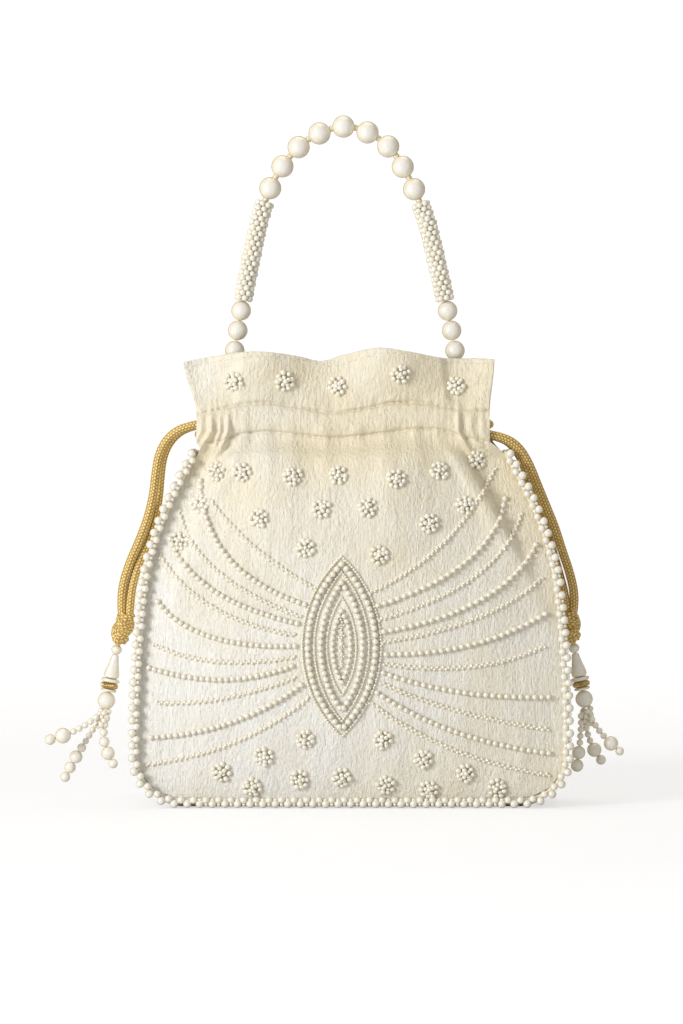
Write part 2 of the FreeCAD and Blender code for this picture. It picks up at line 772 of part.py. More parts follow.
def make_handle():
    """Pearls, spacers and two beaded sleeves strung on one bent wire."""
    wire = handle_wire_route()
    foot = anchorDiameter / 2 + 0.3
    spacers = []
    lower = []
    arch = []

    def add_spacer(distance):
        point, along = place_on(wire, distance + spacerLength / 2)
        spacers.append(disc(spacerDiameter, spacerLength, boreDiameter, along, point))
        return distance + spacerLength

    def add_pearl(middle, diameter, box):
        point, along = place_on(wire, middle)
        box.append(pearl(diameter, point, along, boreDiameter))

    length = wire.Length
    sleeve_ends = []
    for start, sign in ((foot, 1), (length - foot, -1)):
        # both ends are strung alike, from the hinge upwards
        cursor = start
        for _ in range(2):
            add_pearl(cursor + sign * lowerPearlDiameter / 2, lowerPearlDiameter, lower)
            cursor += sign * (lowerPearlDiameter + stringingGap)
        sleeve_ends.append((cursor, cursor + sign * sleeveLength))
    for side, (low, high) in zip(("left", "right"), sleeve_ends):
        make_sleeve(side, wire, min(low, high), max(low, high))
    first = sleeve_ends[0][1] + stringingGap
    last = sleeve_ends[1][1] - stringingGap
    used = archPearls * archPearlDiameter + (archPearls + 1) * spacerLength
    pause = (last - first - used) / (2 * archPearls + 2)
    print(f"handle wire {length:.1f} mm, clearance between arch pieces {pause:.2f} mm")
    cursor = first + pause / 2
    for _ in range(archPearls):
        cursor = add_spacer(cursor) + pause
        add_pearl(cursor + archPearlDiameter / 2, archPearlDiameter, arch)
        cursor += archPearlDiameter + pause
    add_spacer(cursor)
    save("arch_pearls", group(arch))
    save("lower_pearls", group(lower))
    save("handle_spacers", group(spacers))
    begin = anchorDiameter / 2 + 0.25
    save("handle_wire", core_wire(wire, begin, length - begin))


def core_wire(wire, begin, end):
    """The bent wire between two distances along the handle's line."""
    half = handleWireDiameter / 2
    whole = tube("handle_wire", [Vector(x, 0, z) for x, z in handleRoute], handleWireDiameter)
    for distance, back in ((begin, True), (end, False)):
        point, along = place_on(wire, distance)
        direction = along * -1 if back else along
        block = Part.makeCylinder(half * 4, 20.0)
        whole = whole.cut(aim(block, direction, point))
    return whole


def make_sleeve(side, wire, low, high):
    """A core tube wound with seed pearls in staggered rings."""
    core_radius = sleeveCoreDiameter / 2
    ring_radius = core_radius + seedDiameter / 2 + 0.06
    seeds = []
    pitch = (high - low - seedDiameter) / (sleeveRings - 1)
    points = [place_on(wire, low + (high - low) * k / 5)[0] for k in range(6)]
    spine = Part.BSplineCurve()
    spine.interpolate(points)
    path = Part.Wire([spine.toShape()])
    outer = path.makePipeShell([ring_wire(points[0], points[1] - points[0], core_radius)], True, False)
    inner = path.makePipeShell([ring_wire(points[0], points[1] - points[0], boreDiameter / 2)], True, False)
    save(side + "_sleeve_core", outer.cut(inner))
    for k in range(sleeveRings):
        point, along = place_on(wire, low + seedDiameter / 2 + k * pitch)
        across = along.cross(Vector(0, 1, 0)).normalize()
        for i in range(seedsRound):
            turn = 2 * math.pi * (i + 0.5 * (k % 2)) / seedsRound
            offset = across * math.cos(turn) + Vector(0, 1, 0) * math.sin(turn)
            seeds.append(pearl(seedDiameter, point + offset * ring_radius))
    save(side + "_sleeve_seeds", group(seeds))


def ring_wire(centre, direction, radius):
    return Part.Wire([Part.Circle(centre, direction, radius).toShape()])


def make_handle_roots():
    """Anchor pearls on the hinge line, their pins, and the sewn tabs below."""
    ends = [(handleRoute[0], handleRoute[1]), (handleRoute[-1], handleRoute[-2])]
    pearls = []
    pins = []
    for side, (foot, above) in zip(("left", "right"), ends):
        out = -1 if side == "left" else 1
        centre = Vector(foot[0], 0, foot[1])
        pearls.append(pearl(anchorDiameter, centre, Vector(0, 0, 1), 1.0))
        pin_foot = centre - Vector(0, 0, anchorDiameter / 2 + 6.0)
        pins.append(Part.makeCylinder(0.4, anchorDiameter / 2 + 6.0, pin_foot))
        low = Vector(out * 63.0, 0, 150.0)
        bend = centre + Vector(out * 2.0, 0, -24.0)
        top = centre - Vector(0, 0, anchorDiameter / 2 + 1.0)
        half = 3.6
        outline = [
            low + Vector(-half, 0, 0),
            bend + Vector(-half, 0, 0),
            top + Vector(-half, 0, 0),
            top + Vector(half, 0, 0),
            bend + Vector(half, 0, 0),
            low + Vector(half * 0.1, 0, 2.0),
        ]
        outline = [p + Vector(0, -0.8, 0) for p in outline]
        face = Part.Face(Part.makePolygon(outline + [outline[0]]))
        save(side + "_handle_tab", face.extrude(Vector(0, 1.6, 0)))
    save("anchor_pearls", group(pearls))
    save("anchor_pins", group(pins))


# --- build every piece -----------------------------------------------------------

def main():
    save("front_panel", make_panel(-1))
    save("back_panel", make_panel(1))
    save("side_gusset", make_gusset())
    save("pouch_lining", make_lining())
    save("base_board", make_base_board())
    for name, side in (("front", -1), ("back", 1)):
        route = seam_route(side)
        save(name + "_piping", tube(name + "_piping", route, pipingDiameter))
        wire = route_wire(route)[0]
        outer = trim_pearls(wire, side, outerTrimDiameter, 1.65, 2.2, 2.0)
        inner = trim_pearls(wire, side, innerTrimDiameter, -0.25, 2.5, 2.0 + trimPitch / 2)
        save(name + "_outer_trim", outer)
        save(name + "_inner_trim", inner)
    save("motif_pearls", make_motif())
    save("left_ray_pearls", make_rays("left"))
    save("right_ray_pearls", make_rays("right"))
    save("body_rosettes", make_body_rosettes())
    for name, side in (("front", -1), ("back", 1)):
        save(name + "_casing", make_casing(side))
        save(name + "_ruffle", make_ruffle(side))
    save("ruffle_rosettes", make_ruffle_rosettes())
    for side in ("left", "right"):
        save(side + "_cord_runs", make_cord_runs(side))
        save(side + "_cord_far_loop", make_far_loop(side))
        save(side + "_knot", make_knot(side))
        make_tassel(side)
    for name, route in strandRoutes.items():
        save(name, tube(name, [Vector(*p) for p in route], cordDiameter))
    make_handle()
    make_handle_roots()
    print(f"{len(written)} nodes")


main()
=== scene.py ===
import math
import bpy
import numpy as np
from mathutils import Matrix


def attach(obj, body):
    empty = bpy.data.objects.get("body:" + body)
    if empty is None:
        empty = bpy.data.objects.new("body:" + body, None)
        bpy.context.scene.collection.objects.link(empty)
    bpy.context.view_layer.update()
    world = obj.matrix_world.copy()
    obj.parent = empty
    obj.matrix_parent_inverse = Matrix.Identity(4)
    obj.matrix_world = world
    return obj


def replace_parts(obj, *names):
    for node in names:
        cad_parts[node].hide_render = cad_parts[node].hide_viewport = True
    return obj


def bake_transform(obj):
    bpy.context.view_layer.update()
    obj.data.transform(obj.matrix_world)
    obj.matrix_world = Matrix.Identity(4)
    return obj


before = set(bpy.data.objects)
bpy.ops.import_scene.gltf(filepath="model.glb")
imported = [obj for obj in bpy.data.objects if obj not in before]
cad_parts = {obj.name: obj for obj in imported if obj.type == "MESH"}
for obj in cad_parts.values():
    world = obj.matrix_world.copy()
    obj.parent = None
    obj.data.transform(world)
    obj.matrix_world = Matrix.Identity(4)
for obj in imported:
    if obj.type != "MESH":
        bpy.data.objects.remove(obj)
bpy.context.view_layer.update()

mm = 0.001
rng = np.random.default_rng(7)


# ---------- small helpers ----------

def smoothStep(low, high, x):
    # 0 below low, 1 above high, and a smooth S between
    t = np.clip((x - low) / (high - low), 0, 1)
    return t * t * (3 - 2 * t)


def bump(x, centre, width):
    # a bell: exp of minus the squared distance over the width
    return np.exp(-((x - centre) / width) ** 2)


def wobble(x, z, seed, size, octaves=3):
    # a sum of turned sine waves with seeded phases: a smooth uneven surface
    local = np.random.default_rng(seed)
    total = np.zeros_like(np.asarray(x, float) + np.asarray(z, float))
    for octave in range(octaves):
        for _ in range(4):
            angle, phase = local.uniform(0, 2 * math.pi, 2)
            wave = 2 * math.pi / (size / 1.8 ** octave)
            total = total + np.sin(wave * (x * math.cos(angle) + z * math.sin(angle)) + phase) / 1.7 ** octave
    return total / 6.0


def newPiece(name, verts, faces, body, material, attributes=None):
    # verts in mm, N by 3; faces a list or array of vertex numbers
    mesh = bpy.data.meshes.new(name)
    faceList = faces.tolist() if isinstance(faces, np.ndarray) else faces
    mesh.from_pydata((np.asarray(verts) * mm).tolist(), [], faceList)
    mesh.polygons.foreach_set("use_smooth", np.ones(len(mesh.polygons), dtype=bool))
    for key, values in (attributes or {}).items():
        layer = mesh.attributes.new(key, "FLOAT", "POINT")
        layer.data.foreach_set("value", np.asarray(values, dtype=np.float32))
    mesh.update()
    piece = bpy.data.objects.new(name, mesh)
    bpy.context.scene.collection.objects.link(piece)
    piece.data.materials.append(material)
    if body:
        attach(piece, body)
    return piece


def gridFaces(rows, columns, wrapColumns=False, flip=False):
    # quads of a rows by columns grid of points, each row closed into a ring if asked
    r = np.arange(rows - 1)
    c = np.arange(columns if wrapColumns else columns - 1)
    r, c = np.meshgrid(r, c, indexing="ij")
    rNext, cNext = r + 1, (c + 1) % columns
    quads = np.stack([r * columns + c, r * columns + cNext, rNext * columns + cNext, rNext * columns + c], -1)
    quads = quads.reshape(-1, 4)
    return quads[:, ::-1] if flip else quads


def closedTube(rows, around):
    # faces of a tube of rings, with a fan over each end to the two points that come last
    faces = gridFaces(rows, around, wrapColumns=True).tolist()
    for i in range(around):
        j = (i + 1) % around
        faces.append([rows * around, j, i])
        faces.append([rows * around + 1, (rows - 1) * around + i, (rows - 1) * around + j])
    return faces


def gridPiece(name, points, body, material, flip=False):
    # one open sheet from a rows by columns grid of points
    rows, columns = points.shape[:2]
    faces = gridFaces(rows, columns, flip=flip)
    return newPiece(name, points.reshape(-1, 3), faces, body, material)


def thicken(piece, thickness):
    # gives a sheet its cloth thickness, inwards
    mod = piece.modifiers.new("cloth thickness", "SOLIDIFY")
    mod.thickness = thickness * mm
    mod.offset = -1
    mod.use_rim = True


def unitBall(around, rings):
    # a round bead: points on circles of latitude, with one point at each pole
    lat = np.pi * np.arange(1, rings) / rings
    lon = 2 * np.pi * np.arange(around) / around
    la, lo = np.meshgrid(lat, lon, indexing="ij")
    body = np.stack([np.sin(la) * np.cos(lo), np.sin(la) * np.sin(lo), np.cos(la)], -1).reshape(-1, 3)
    verts = np.vstack([[0, 0, 1], body, [0, 0, -1]])
    faces = []
    last = len(verts) - 1
    for i in range(around):
        j = (i + 1) % around
        faces.append([0, 1 + i, 1 + j])
        base = 1 + (rings - 2) * around
        faces.append([last, base + j, base + i])
        for k in range(rings - 2):
            a = 1 + k * around
            faces.append([a + i, a + around + i, a + around + j, a + j])
    return verts, faces


def beads(name, centres, diameters, body, material, around=8, rings=6, vary=0.04):
    # many balls in one mesh: a unit ball scaled and moved to each centre, each with its own tone
    centres = np.asarray(centres, float).reshape(-1, 3)
    diameters = np.broadcast_to(np.asarray(diameters, float), len(centres))
    ball, faces = unitBall(around, rings)
    count, size = len(centres), len(ball)
    local = np.random.default_rng(len(name) * 31 + count)
    scale = diameters * local.uniform(1.0 - vary, 1.0, count) / 2
    tips = local.normal(size=(count, 3))
    tips /= np.linalg.norm(tips, axis=1, keepdims=True)
    side = np.cross(tips, local.normal(size=(count, 3)))
    side /= np.linalg.norm(side, axis=1, keepdims=True)
    turn = np.stack([side, np.cross(tips, side), tips], 1)
    verts = centres[:, None, :] + np.einsum("vk,nkj->nvj", ball, turn) * scale[:, None, None]
    triangles = [f for f in faces if len(f) == 3]
    quads = [f for f in faces if len(f) == 4]
    firstVertex = (np.arange(count) * size)[:, None, None]
    allFaces = (np.array(triangles)[None] + firstVertex).reshape(-1, 3).tolist()
    allFaces += (np.array(quads)[None] + firstVertex).reshape(-1, 4).tolist()
    tone = np.repeat(local.uniform(0, 1, count), size)
    return newPiece(name, verts.reshape(-1, 3), allFaces, body, material, {"beadTone": tone})


def solidsOf(node):
    # centre and size in mm of every separate solid of a CAD node: points that share
    # an edge are given the same label, over and over, until the labels stand still
    mesh = bpy.data.objects[node].data
    co = np.empty(len(mesh.vertices) * 3)
    mesh.vertices.foreach_get("co", co)
    co = co.reshape(-1, 3) / mm
    _, weld = np.unique(np.round(co, 3), axis=0, return_inverse=True)
    weld = weld.ravel()
    edges = np.empty(len(mesh.edges) * 2, dtype=np.int64)
    mesh.edges.foreach_get("vertices", edges)
    edges = weld[edges].reshape(-1, 2)
    label = np.arange(weld.max() + 1)
    while True:
        before = label.copy()
        low = np.minimum(label[edges[:, 0]], label[edges[:, 1]])
        np.minimum.at(label, edges[:, 0], low)
        np.minimum.at(label, edges[:, 1], low)
        label = label[label]
        if np.array_equal(before, label):
            break
    owner = label[weld]
    names, group = np.unique(owner, return_inverse=True)
    low = np.full((len(names), 3), np.inf)
    high = np.full((len(names), 3), -np.inf)
    np.minimum.at(low, group.ravel(), co)
    np.maximum.at(high, group.ravel(), co)
    return (low + high) / 2, high - low


def lathePiece(name, profile, foot, direction, body, material, around=40, ridge=None):
    # a turned shape: radius and height pairs carried round an axis from foot along direction
    profile = np.asarray(profile, float)
    axis = np.asarray(direction, float) / np.linalg.norm(direction)
    side = np.cross(axis, [0, 1, 0])
    side /= np.linalg.norm(side)
    other = np.cross(axis, side)
    turn = 2 * np.pi * np.arange(around) / around
    radius = np.repeat(profile[:, :1], around, 1)
    if ridge is not None:
        radius = radius + ridge(turn[None, :], profile[:, 1:2])
    outward = np.cos(turn)[None, :, None] * side + np.sin(turn)[None, :, None] * other
    points = np.asarray(foot) + profile[:, 1][:, None, None] * axis + radius[..., None] * outward
    ends = np.asarray(foot) + profile[[0, -1], 1][:, None] * axis
    verts = np.vstack([points.reshape(-1, 3), ends])
    return newPiece(name, verts, closedTube(len(profile), around), body, material)


def softProfile(points):
    # rounds a turned shape's profile: two rounds of corner cutting keep its ends
    points = np.asarray(points, float)
    for _ in range(2):
        a, b = points[:-1], points[1:]
        cut = np.stack([a * 0.75 + b * 0.25, a * 0.25 + b * 0.75], 1).reshape(-1, 2)
        points = np.vstack([points[:1], cut, points[-1:]])
    return points


# ---------- materials ----------

def makeNodes(name):
    # an empty material with one shader wired to its output
    material = bpy.data.materials.new(name)
    material.use_nodes = True
    nodes, links = material.node_tree.nodes, material.node_tree.links
    nodes.clear()
    out = nodes.new("ShaderNodeOutputMaterial")
    shader = nodes.new("ShaderNodeBsdfPrincipled")
    links.new(shader.outputs[0], out.inputs[0])
    return material, nodes, links, shader


def ramp(nodes, stops):
    # colours by place from 0 to 1, blended between the stops
    node = nodes.new("ShaderNodeValToRGB")
    elements = node.color_ramp.elements
    elements[0].position, elements[0].color = stops[0][0], (*stops[0][1], 1)
    elements[1].position, elements[1].color = stops[-1][0], (*stops[-1][1], 1)
    for place, colour in stops[1:-1]:
        elements.new(place).color = (*colour, 1)
    return node


silkLook = {
    "white": (0.965, 0.952, 0.91), "cream": (0.935, 0.85, 0.65), "shade": (0.93, 0.91, 0.85),
    "roughness": 0.44, "roughSpread": 0.12, "sheen": 0.2, "slubHeight": 0.00042, "crinkleHeight": 0.0013,
    # each grain's name, detail and scale across, through and up the cloth, per metre
    "grain": (("Slub", 3.0, (2100.0, 1200.0, 100.0)), ("Fine", 2.0, (4400.0, 2400.0, 420.0)),
              ("Crinkle", 3.0, (760.0, 600.0, 400.0))),
    # how creamy the cloth is: by place across, as painted shade that creams the right side away from the key
    # lamp, by share of 0.25 m up, and by cloud
    "sideShadeFrom": (-0.09, 0.10), "sideShadeTo": (-0.26, 0.22), "riseTop": 0.25,
    "rise": ((0.0, 0.20), (0.30, 0.26), (0.50, 0.55), (0.64, 0.92), (0.72, 0.85), (0.80, 0.66)),
    "cloudScale": 30.0, "cloudFrom": (0.3, 0.7), "cloudTo": (-0.3, 0.3),
}


def slubGroup():
    # raw silk: fine uneven threads running up the cloth, and small soft crinkles
    group = bpy.data.node_groups.new("raw silk weave", "ShaderNodeTree")
    group.interface.new_socket("Vector", in_out="INPUT", socket_type="NodeSocketVector")
    for label in ("Slub", "Fine", "Crinkle"):
        group.interface.new_socket(label, in_out="OUTPUT", socket_type="NodeSocketFloat")
    nodes, links = group.nodes, group.links
    inside, outside = nodes.new("NodeGroupInput"), nodes.new("NodeGroupOutput")
    for label, detail, scale in silkLook["grain"]:
        mapping = nodes.new("ShaderNodeMapping")
        mapping.inputs["Scale"].default_value = scale
        noise = nodes.new("ShaderNodeTexNoise")
        noise.inputs["Scale"].default_value = 1.0
        noise.inputs["Detail"].default_value = detail
        noise.inputs["Roughness"].default_value = 0.6
        links.new(inside.outputs["Vector"], mapping.inputs["Vector"])
        links.new(mapping.outputs[0], noise.inputs["Vector"])
        links.new(noise.outputs["Fac"], outside.inputs[label])
    return group


silkWeave = slubGroup()


def mapRange(nodes, links, source, fromRange, toRange):
    # carries a value from one range to another in a straight line
    node = nodes.new("ShaderNodeMapRange")
    for label, value in zip(("From Min", "From Max", "To Min", "To Max"), (*fromRange, *toRange)):
        node.inputs[label].default_value = value
    links.new(source, node.inputs["Value"])
    return node.outputs[0]


def multiply(nodes, links, first, second):
    # two colours multiplied
    node = nodes.new("ShaderNodeMix")
    node.data_type = "RGBA"
    node.blend_type = "MULTIPLY"
    node.inputs["Factor"].default_value = 1.0
    links.new(first, node.inputs[6])
    links.new(second, node.inputs[7])
    return node.outputs[2]


def grain(nodes, links, height, strength, distance, before=None):
    # raises a value as small relief, on top of any relief before it
    node = nodes.new("ShaderNodeBump")
    node.inputs["Strength"].default_value = strength
    node.inputs["Distance"].default_value = distance
    links.new(height, node.inputs["Height"])
    if before:
        links.new(before, node.inputs["Normal"])
    return node.outputs[0]


def makeSilk(name, look):
    # raw silk: a creamier or whiter tint, partly painted shade, times the thread's tone, and three grains of
    # relief
    material, nodes, links, shader = makeNodes(name)
    coords = nodes.new("ShaderNodeTexCoord")
    weave = nodes.new("ShaderNodeGroup")
    weave.node_tree = silkWeave
    links.new(coords.outputs["Object"], weave.inputs["Vector"])
    # creamier toward the right, as painted shade on the side turned from the key lamp, and whiter at the
    # left; creamier round the channel and the upper panel and whiter at the foot; and random clouds of cream
    apart = nodes.new("ShaderNodeSeparateXYZ")
    links.new(coords.outputs["Object"], apart.inputs[0])
    # painted shade: the cloth turns creamier and darker toward the right, away from the key lamp
    across = mapRange(nodes, links, apart.outputs["X"], look["sideShadeFrom"], look["sideShadeTo"])
    rise = mapRange(nodes, links, apart.outputs["Z"], (0.0, look["riseTop"]), (0.0, 1.0))
    height = ramp(nodes, [(place, (cream,) * 3) for place, cream in look["rise"]])
    links.new(rise, height.inputs[0])
    cloud = nodes.new("ShaderNodeTexNoise")
    cloud.inputs["Scale"].default_value = look["cloudScale"]
    cloud.inputs["Detail"].default_value = 3.0
    links.new(coords.outputs["Object"], cloud.inputs["Vector"])
    cloudPart = mapRange(nodes, links, cloud.outputs["Fac"], look["cloudFrom"], look["cloudTo"])
    total = height.outputs[0]
    for part in (across, cloudPart):
        add = nodes.new("ShaderNodeMath")
        links.new(total, add.inputs[0])
        links.new(part, add.inputs[1])
        total = add.outputs[0]
    tint = ramp(nodes, [(0.05, look["white"]), (0.95, look["cream"])])
    links.new(total, tint.inputs[0])
    thread = ramp(nodes, [(0.34, look["shade"]), (0.62, (1.0, 1.0, 1.0))])
    links.new(weave.outputs["Slub"], thread.inputs[0])
    links.new(multiply(nodes, links, tint.outputs[0], thread.outputs[0]), shader.inputs["Base Color"])
    spread = (look["roughness"] + look["roughSpread"], look["roughness"] - look["roughSpread"])
    links.new(mapRange(nodes, links, weave.outputs["Fine"], (0.0, 1.0), spread), shader.inputs["Roughness"])
    shader.inputs["Sheen Weight"].default_value = look["sheen"]
    shader.inputs["Sheen Roughness"].default_value = 0.4
    shader.inputs["Specular IOR Level"].default_value = 0.5
    normal = grain(nodes, links, weave.outputs["Crinkle"], 0.75, look["crinkleHeight"])
    normal = grain(nodes, links, weave.outputs["Slub"], 0.7, look["slubHeight"], normal)
    normal = grain(nodes, links, weave.outputs["Fine"], 0.5, look["slubHeight"] * 0.4, normal)
    links.new(normal, shader.inputs["Normal"])
    return material


def makePearl(name, dark, light, rimShadeTone, roughness, coat):
    # pearl: tone from bead to bead, a painted highlight where it faces the camera, painted shade in a warmer
    # tone toward the rim, and a clear coat
    material, nodes, links, shader = makeNodes(name)
    tone = nodes.new("ShaderNodeAttribute")
    tone.attribute_name = "beadTone"
    colour = ramp(nodes, [(0.0, dark), (1.0, light)])
    links.new(tone.outputs["Fac"], colour.inputs[0])
    # painted highlight and shade: white facing the camera, darkening to the warm rim tone near the edge, a
    # little lighter again at the very edge
    layer = nodes.new("ShaderNodeLayerWeight")
    layer.inputs["Blend"].default_value = 0.4
    middle = tuple(0.55 + 0.45 * value for value in rimShadeTone)
    rim = ramp(nodes, [(0.04, (1.0, 1.0, 1.0)), (0.26, middle), (0.72, rimShadeTone), (1.0, middle)])
    links.new(layer.outputs["Facing"], rim.inputs[0])
    links.new(multiply(nodes, links, colour.outputs[0], rim.outputs[0]), shader.inputs["Base Color"])
    shader.inputs["Roughness"].default_value = roughness
    shader.inputs["Coat Weight"].default_value = coat
    shader.inputs["Coat Roughness"].default_value = 0.14
    shader.inputs["Specular IOR Level"].default_value = 0.8
    return material


def makeThread(name, colour, dark, roughness, metallic, scale):
    # yarn or metal with a fine streaky grain
    material, nodes, links, shader = makeNodes(name)
    coords = nodes.new("ShaderNodeTexCoord")
    noise = nodes.new("ShaderNodeTexNoise")
    noise.inputs["Scale"].default_value = scale
    noise.inputs["Detail"].default_value = 3.0
    links.new(coords.outputs["Object"], noise.inputs["Vector"])
    shade = ramp(nodes, [(0.35, dark), (0.62, colour)])
    links.new(noise.outputs["Fac"], shade.inputs[0])
    links.new(shade.outputs[0], shader.inputs["Base Color"])
    shader.inputs["Metallic"].default_value = metallic
    shader.inputs["Roughness"].default_value = roughness
    links.new(grain(nodes, links, noise.outputs["Fac"], 0.4, 0.0001), shader.inputs["Normal"])
    return material


def makeGoldCord():
    # braided gold yarn, coloured by the loops' relief: painted shade darkens the grooves between the loops
    # and a painted highlight brightens their tops
    material, nodes, links, shader = makeNodes("gold cord")
    relief = nodes.new("ShaderNodeAttribute")
    relief.attribute_name = "relief"
    # painted shade in the grooves, the yarn's own gold between, painted highlight on the loop tops
    shade = ramp(nodes, [(0.0, (0.30, 0.17, 0.03)), (0.42, (0.78, 0.51, 0.13)), (1.0, (1.0, 0.88, 0.50))])
    links.new(relief.outputs["Fac"], shade.inputs[0])
    links.new(shade.outputs[0], shader.inputs["Base Color"])
    shader.inputs["Metallic"].default_value = 0.2
    shader.inputs["Roughness"].default_value = 0.38
    shader.inputs["Sheen Weight"].default_value = 0.2
    coords = nodes.new("ShaderNodeTexCoord")
    noise = nodes.new("ShaderNodeTexNoise")
    noise.inputs["Scale"].default_value = 4200.0
    links.new(coords.outputs["Object"], noise.inputs["Vector"])
    links.new(grain(nodes, links, noise.outputs["Fac"], 0.35, 0.00008), shader.inputs["Normal"])
    return material


silk = makeSilk("ivory silk", silkLook)
pearlLook = makePearl("pearl", (0.96, 0.925, 0.83), (0.99, 0.97, 0.91), (0.90, 0.82, 0.62), 0.22, 1.0)
largePearl = makePearl("large pearl", (0.985, 0.95, 0.87), (1.0, 0.97, 0.90), (0.88, 0.78, 0.55), 0.22, 1.0)
seedLook = makePearl("seed bead", (0.96, 0.92, 0.81), (0.995, 0.975, 0.91), (0.96, 0.89, 0.71), 0.16, 1.0)
underlay = makePearl("bead ground", (0.95, 0.90, 0.77), (0.95, 0.90, 0.77), (0.97, 0.92, 0.80), 0.5, 0.0)
spacerLook = makePearl("spacer bead", (0.88, 0.78, 0.56), (0.92, 0.84, 0.66), (0.74, 0.62, 0.40), 0.22, 1.0)
goldCord = makeGoldCord()
goldMetal = makeThread("gold metal", (0.78, 0.58, 0.26), (0.50, 0.34, 0.12), 0.30, 1.0, 900.0)
liningSatin = makeThread("lining satin", (0.88, 0.83, 0.71), (0.84, 0.78, 0.65), 0.38, 0.0, 300.0)
whiteThread = makeThread("bead thread", (0.88, 0.84, 0.74), (0.74, 0.68, 0.55), 0.6, 0.0, 2500.0)
stitchThread = makeThread("stitching", (0.90, 0.84, 0.69), (0.78, 0.70, 0.53), 0.5, 0.0, 2500.0)
boardLook = makeThread("base board", (0.62, 0.55, 0.45), (0.50, 0.44, 0.36), 0.9, 0.0, 200.0)
wireLook = makeThread("wire", (0.72, 0.68, 0.60), (0.5, 0.47, 0.42), 0.35, 1.0, 900.0)
print("materials ready")


# ---------- the pouch's form, in mm ----------

pouch = {
    "neck": 160.0, "seam": 5.0, "corner": 18.0,
    # height, half width, half depth at the seam, half depth at the middle
    "stations": np.array([
        [5.0, 94.2, 19.7, 21.4], [14.0, 94.5, 20.0, 24.5], [30.0, 94.7, 19.8, 28.0],
        [55.0, 93.8, 18.6, 30.0], [80.0, 92.2, 16.8, 29.4], [105.0, 89.6, 14.6, 26.6],
        [125.0, 84.0, 12.4, 22.6], [143.0, 76.0, 10.2, 18.0], [160.0, 66.6, 8.4, 14.6],
    ]),
    "backBulge": 2.4,
}


def smoothCurve(at, places, values):
    # a smooth curve through a list of places and values
    slopes = np.gradient(values, places)
    at = np.clip(np.asarray(at, float), places[0], places[-1])
    i = np.clip(np.searchsorted(places, at) - 1, 0, len(places) - 2)
    span = places[i + 1] - places[i]
    t = (at - places[i]) / span
    return ((2 * t**3 - 3 * t**2 + 1) * values[i] + (t**3 - 2 * t**2 + t) * span * slopes[i]
            + (3 * t**2 - 2 * t**3) * values[i + 1] + (t**3 - t**2) * span * slopes[i + 1])


def station(z, column):
    # one column of the pouch's stations at a height
    rows = pouch["stations"]
    return smoothCurve(z, rows[:, 0], rows[:, column])


def halfWidth(z):
    # the side curve less the rounded bottom corner
    drop = np.clip(pouch["corner"] - (np.asarray(z, float) - pouch["seam"]), 0, pouch["corner"])
    return station(z, 1) - pouch["corner"] + np.sqrt(pouch["corner"] ** 2 - drop ** 2)


def swell(x):
    # the mouth's waves: two forward crests, with a dip between them
    return np.cos(2 * np.pi * (x - 19.0) / 59.0)


mouth = {
    "axisDepth": 10.5, "leftEnd": -69.0, "rightEnd": 62.0, "leftFlare": 6.2, "rightFlare": 2.2,
    # x and height of the lower stitch line, the upper one and the rim
    "lower": np.array([[-69, 162.4], [-58, 163.6], [-50, 166.4], [-40, 167.5], [-25, 166.5], [-10, 164.9],
                       [5, 166.0], [18, 167.6], [32, 168.8], [42, 168.0], [50, 165.2], [62, 163.0]]),
    "upper": np.array([[-75, 174.8], [-69, 175.4], [-52, 179.0], [-40, 180.4], [-25, 178.8], [-10, 176.1],
                       [5, 177.6], [20, 180.6], [35, 179.9], [47, 177.6], [62, 177.2]]),
    "rim": np.array([[-75.3, 198.4], [-67.2, 200.2], [-57.2, 201.7], [-47.3, 203.1], [-37.4, 203.4],
                     [-18.9, 201.3], [-8.0, 199.3], [2.3, 202.1], [16.3, 205.1], [29.0, 203.4],
                     [42.5, 200.7], [59.2, 200.4], [64.0, 200.0]]),
}


def bottomStitch(x):
    # height of the channel's lower stitch line
    return smoothCurve(x, mouth["lower"][:, 0], mouth["lower"][:, 1])


def topStitch(x):
    # height of the channel's upper stitch line
    return smoothCurve(x, mouth["upper"][:, 0], mouth["upper"][:, 1])


def rimHeight(x, side):
    # height of the rim; the back's is lower, with waves less than half as high
    front = smoothCurve(x, mouth["rim"][:, 0], mouth["rim"][:, 1])
    return front if side < 0 else 197.6 + 0.4 * (front - 200.0)


# ridges of gathered cloth: x at the cords, lean for each mm below, height, width, and how
# far each reaches below and above the cords, in mm
ridges = {
    -1: [(-66.6, -0.50, 1.0, 1.5, 12, 6), (-62.2, -0.62, 2.3, 1.25, 20, 8), (-58.3, -0.34, 1.5, 0.9, 15, 6),
         (-54.8, -0.42, 2.7, 1.1, 18, 7), (-47.5, -0.30, 0.9, 2.6, 16, 5), (47.9, 0.55, 2.0, 1.0, 14, 12),
         (53.4, 0.62, 1.0, 1.7, 15, 8), (58.8, 0.5, 0.7, 1.5, 12, 6),
         (-38.0, -0.04, 0.7, 3.6, 24, 4), (-27.0, 0.02, 0.6, 3.0, 20, 4),
         (-12.0, 0.05, 0.8, 3.4, 26, 4), (3.0, -0.03, 0.7, 3.2, 22, 4), (15.0, 0.03, 0.7, 3.6, 30, 4),
         (29.0, 0.08, 0.8, 3.2, 22, 4), (38.5, 0.16, 0.7, 2.6, 20, 4)],
    1: [(-62.0, -0.5, 1.6, 1.2, 16, 6), (-57.0, -0.3, 1.5, 1.2, 18, 6), (-50.0, -0.15, 1.2, 2.0, 20, 5),
        (-38.0, -0.05, 0.9, 3.0, 26, 5), (-24.0, 0.0, 0.8, 3.2, 24, 5), (-8.0, 0.03, 0.9, 3.6, 28, 5),
        (8.0, 0.0, 0.8, 3.2, 26, 5), (22.0, 0.06, 0.9, 3.4, 24, 5), (35.0, 0.12, 1.0, 2.6, 24, 5),
        (46.0, 0.3, 1.5, 1.4, 18, 6), (54.0, 0.5, 1.6, 1.2, 16, 6)],
}


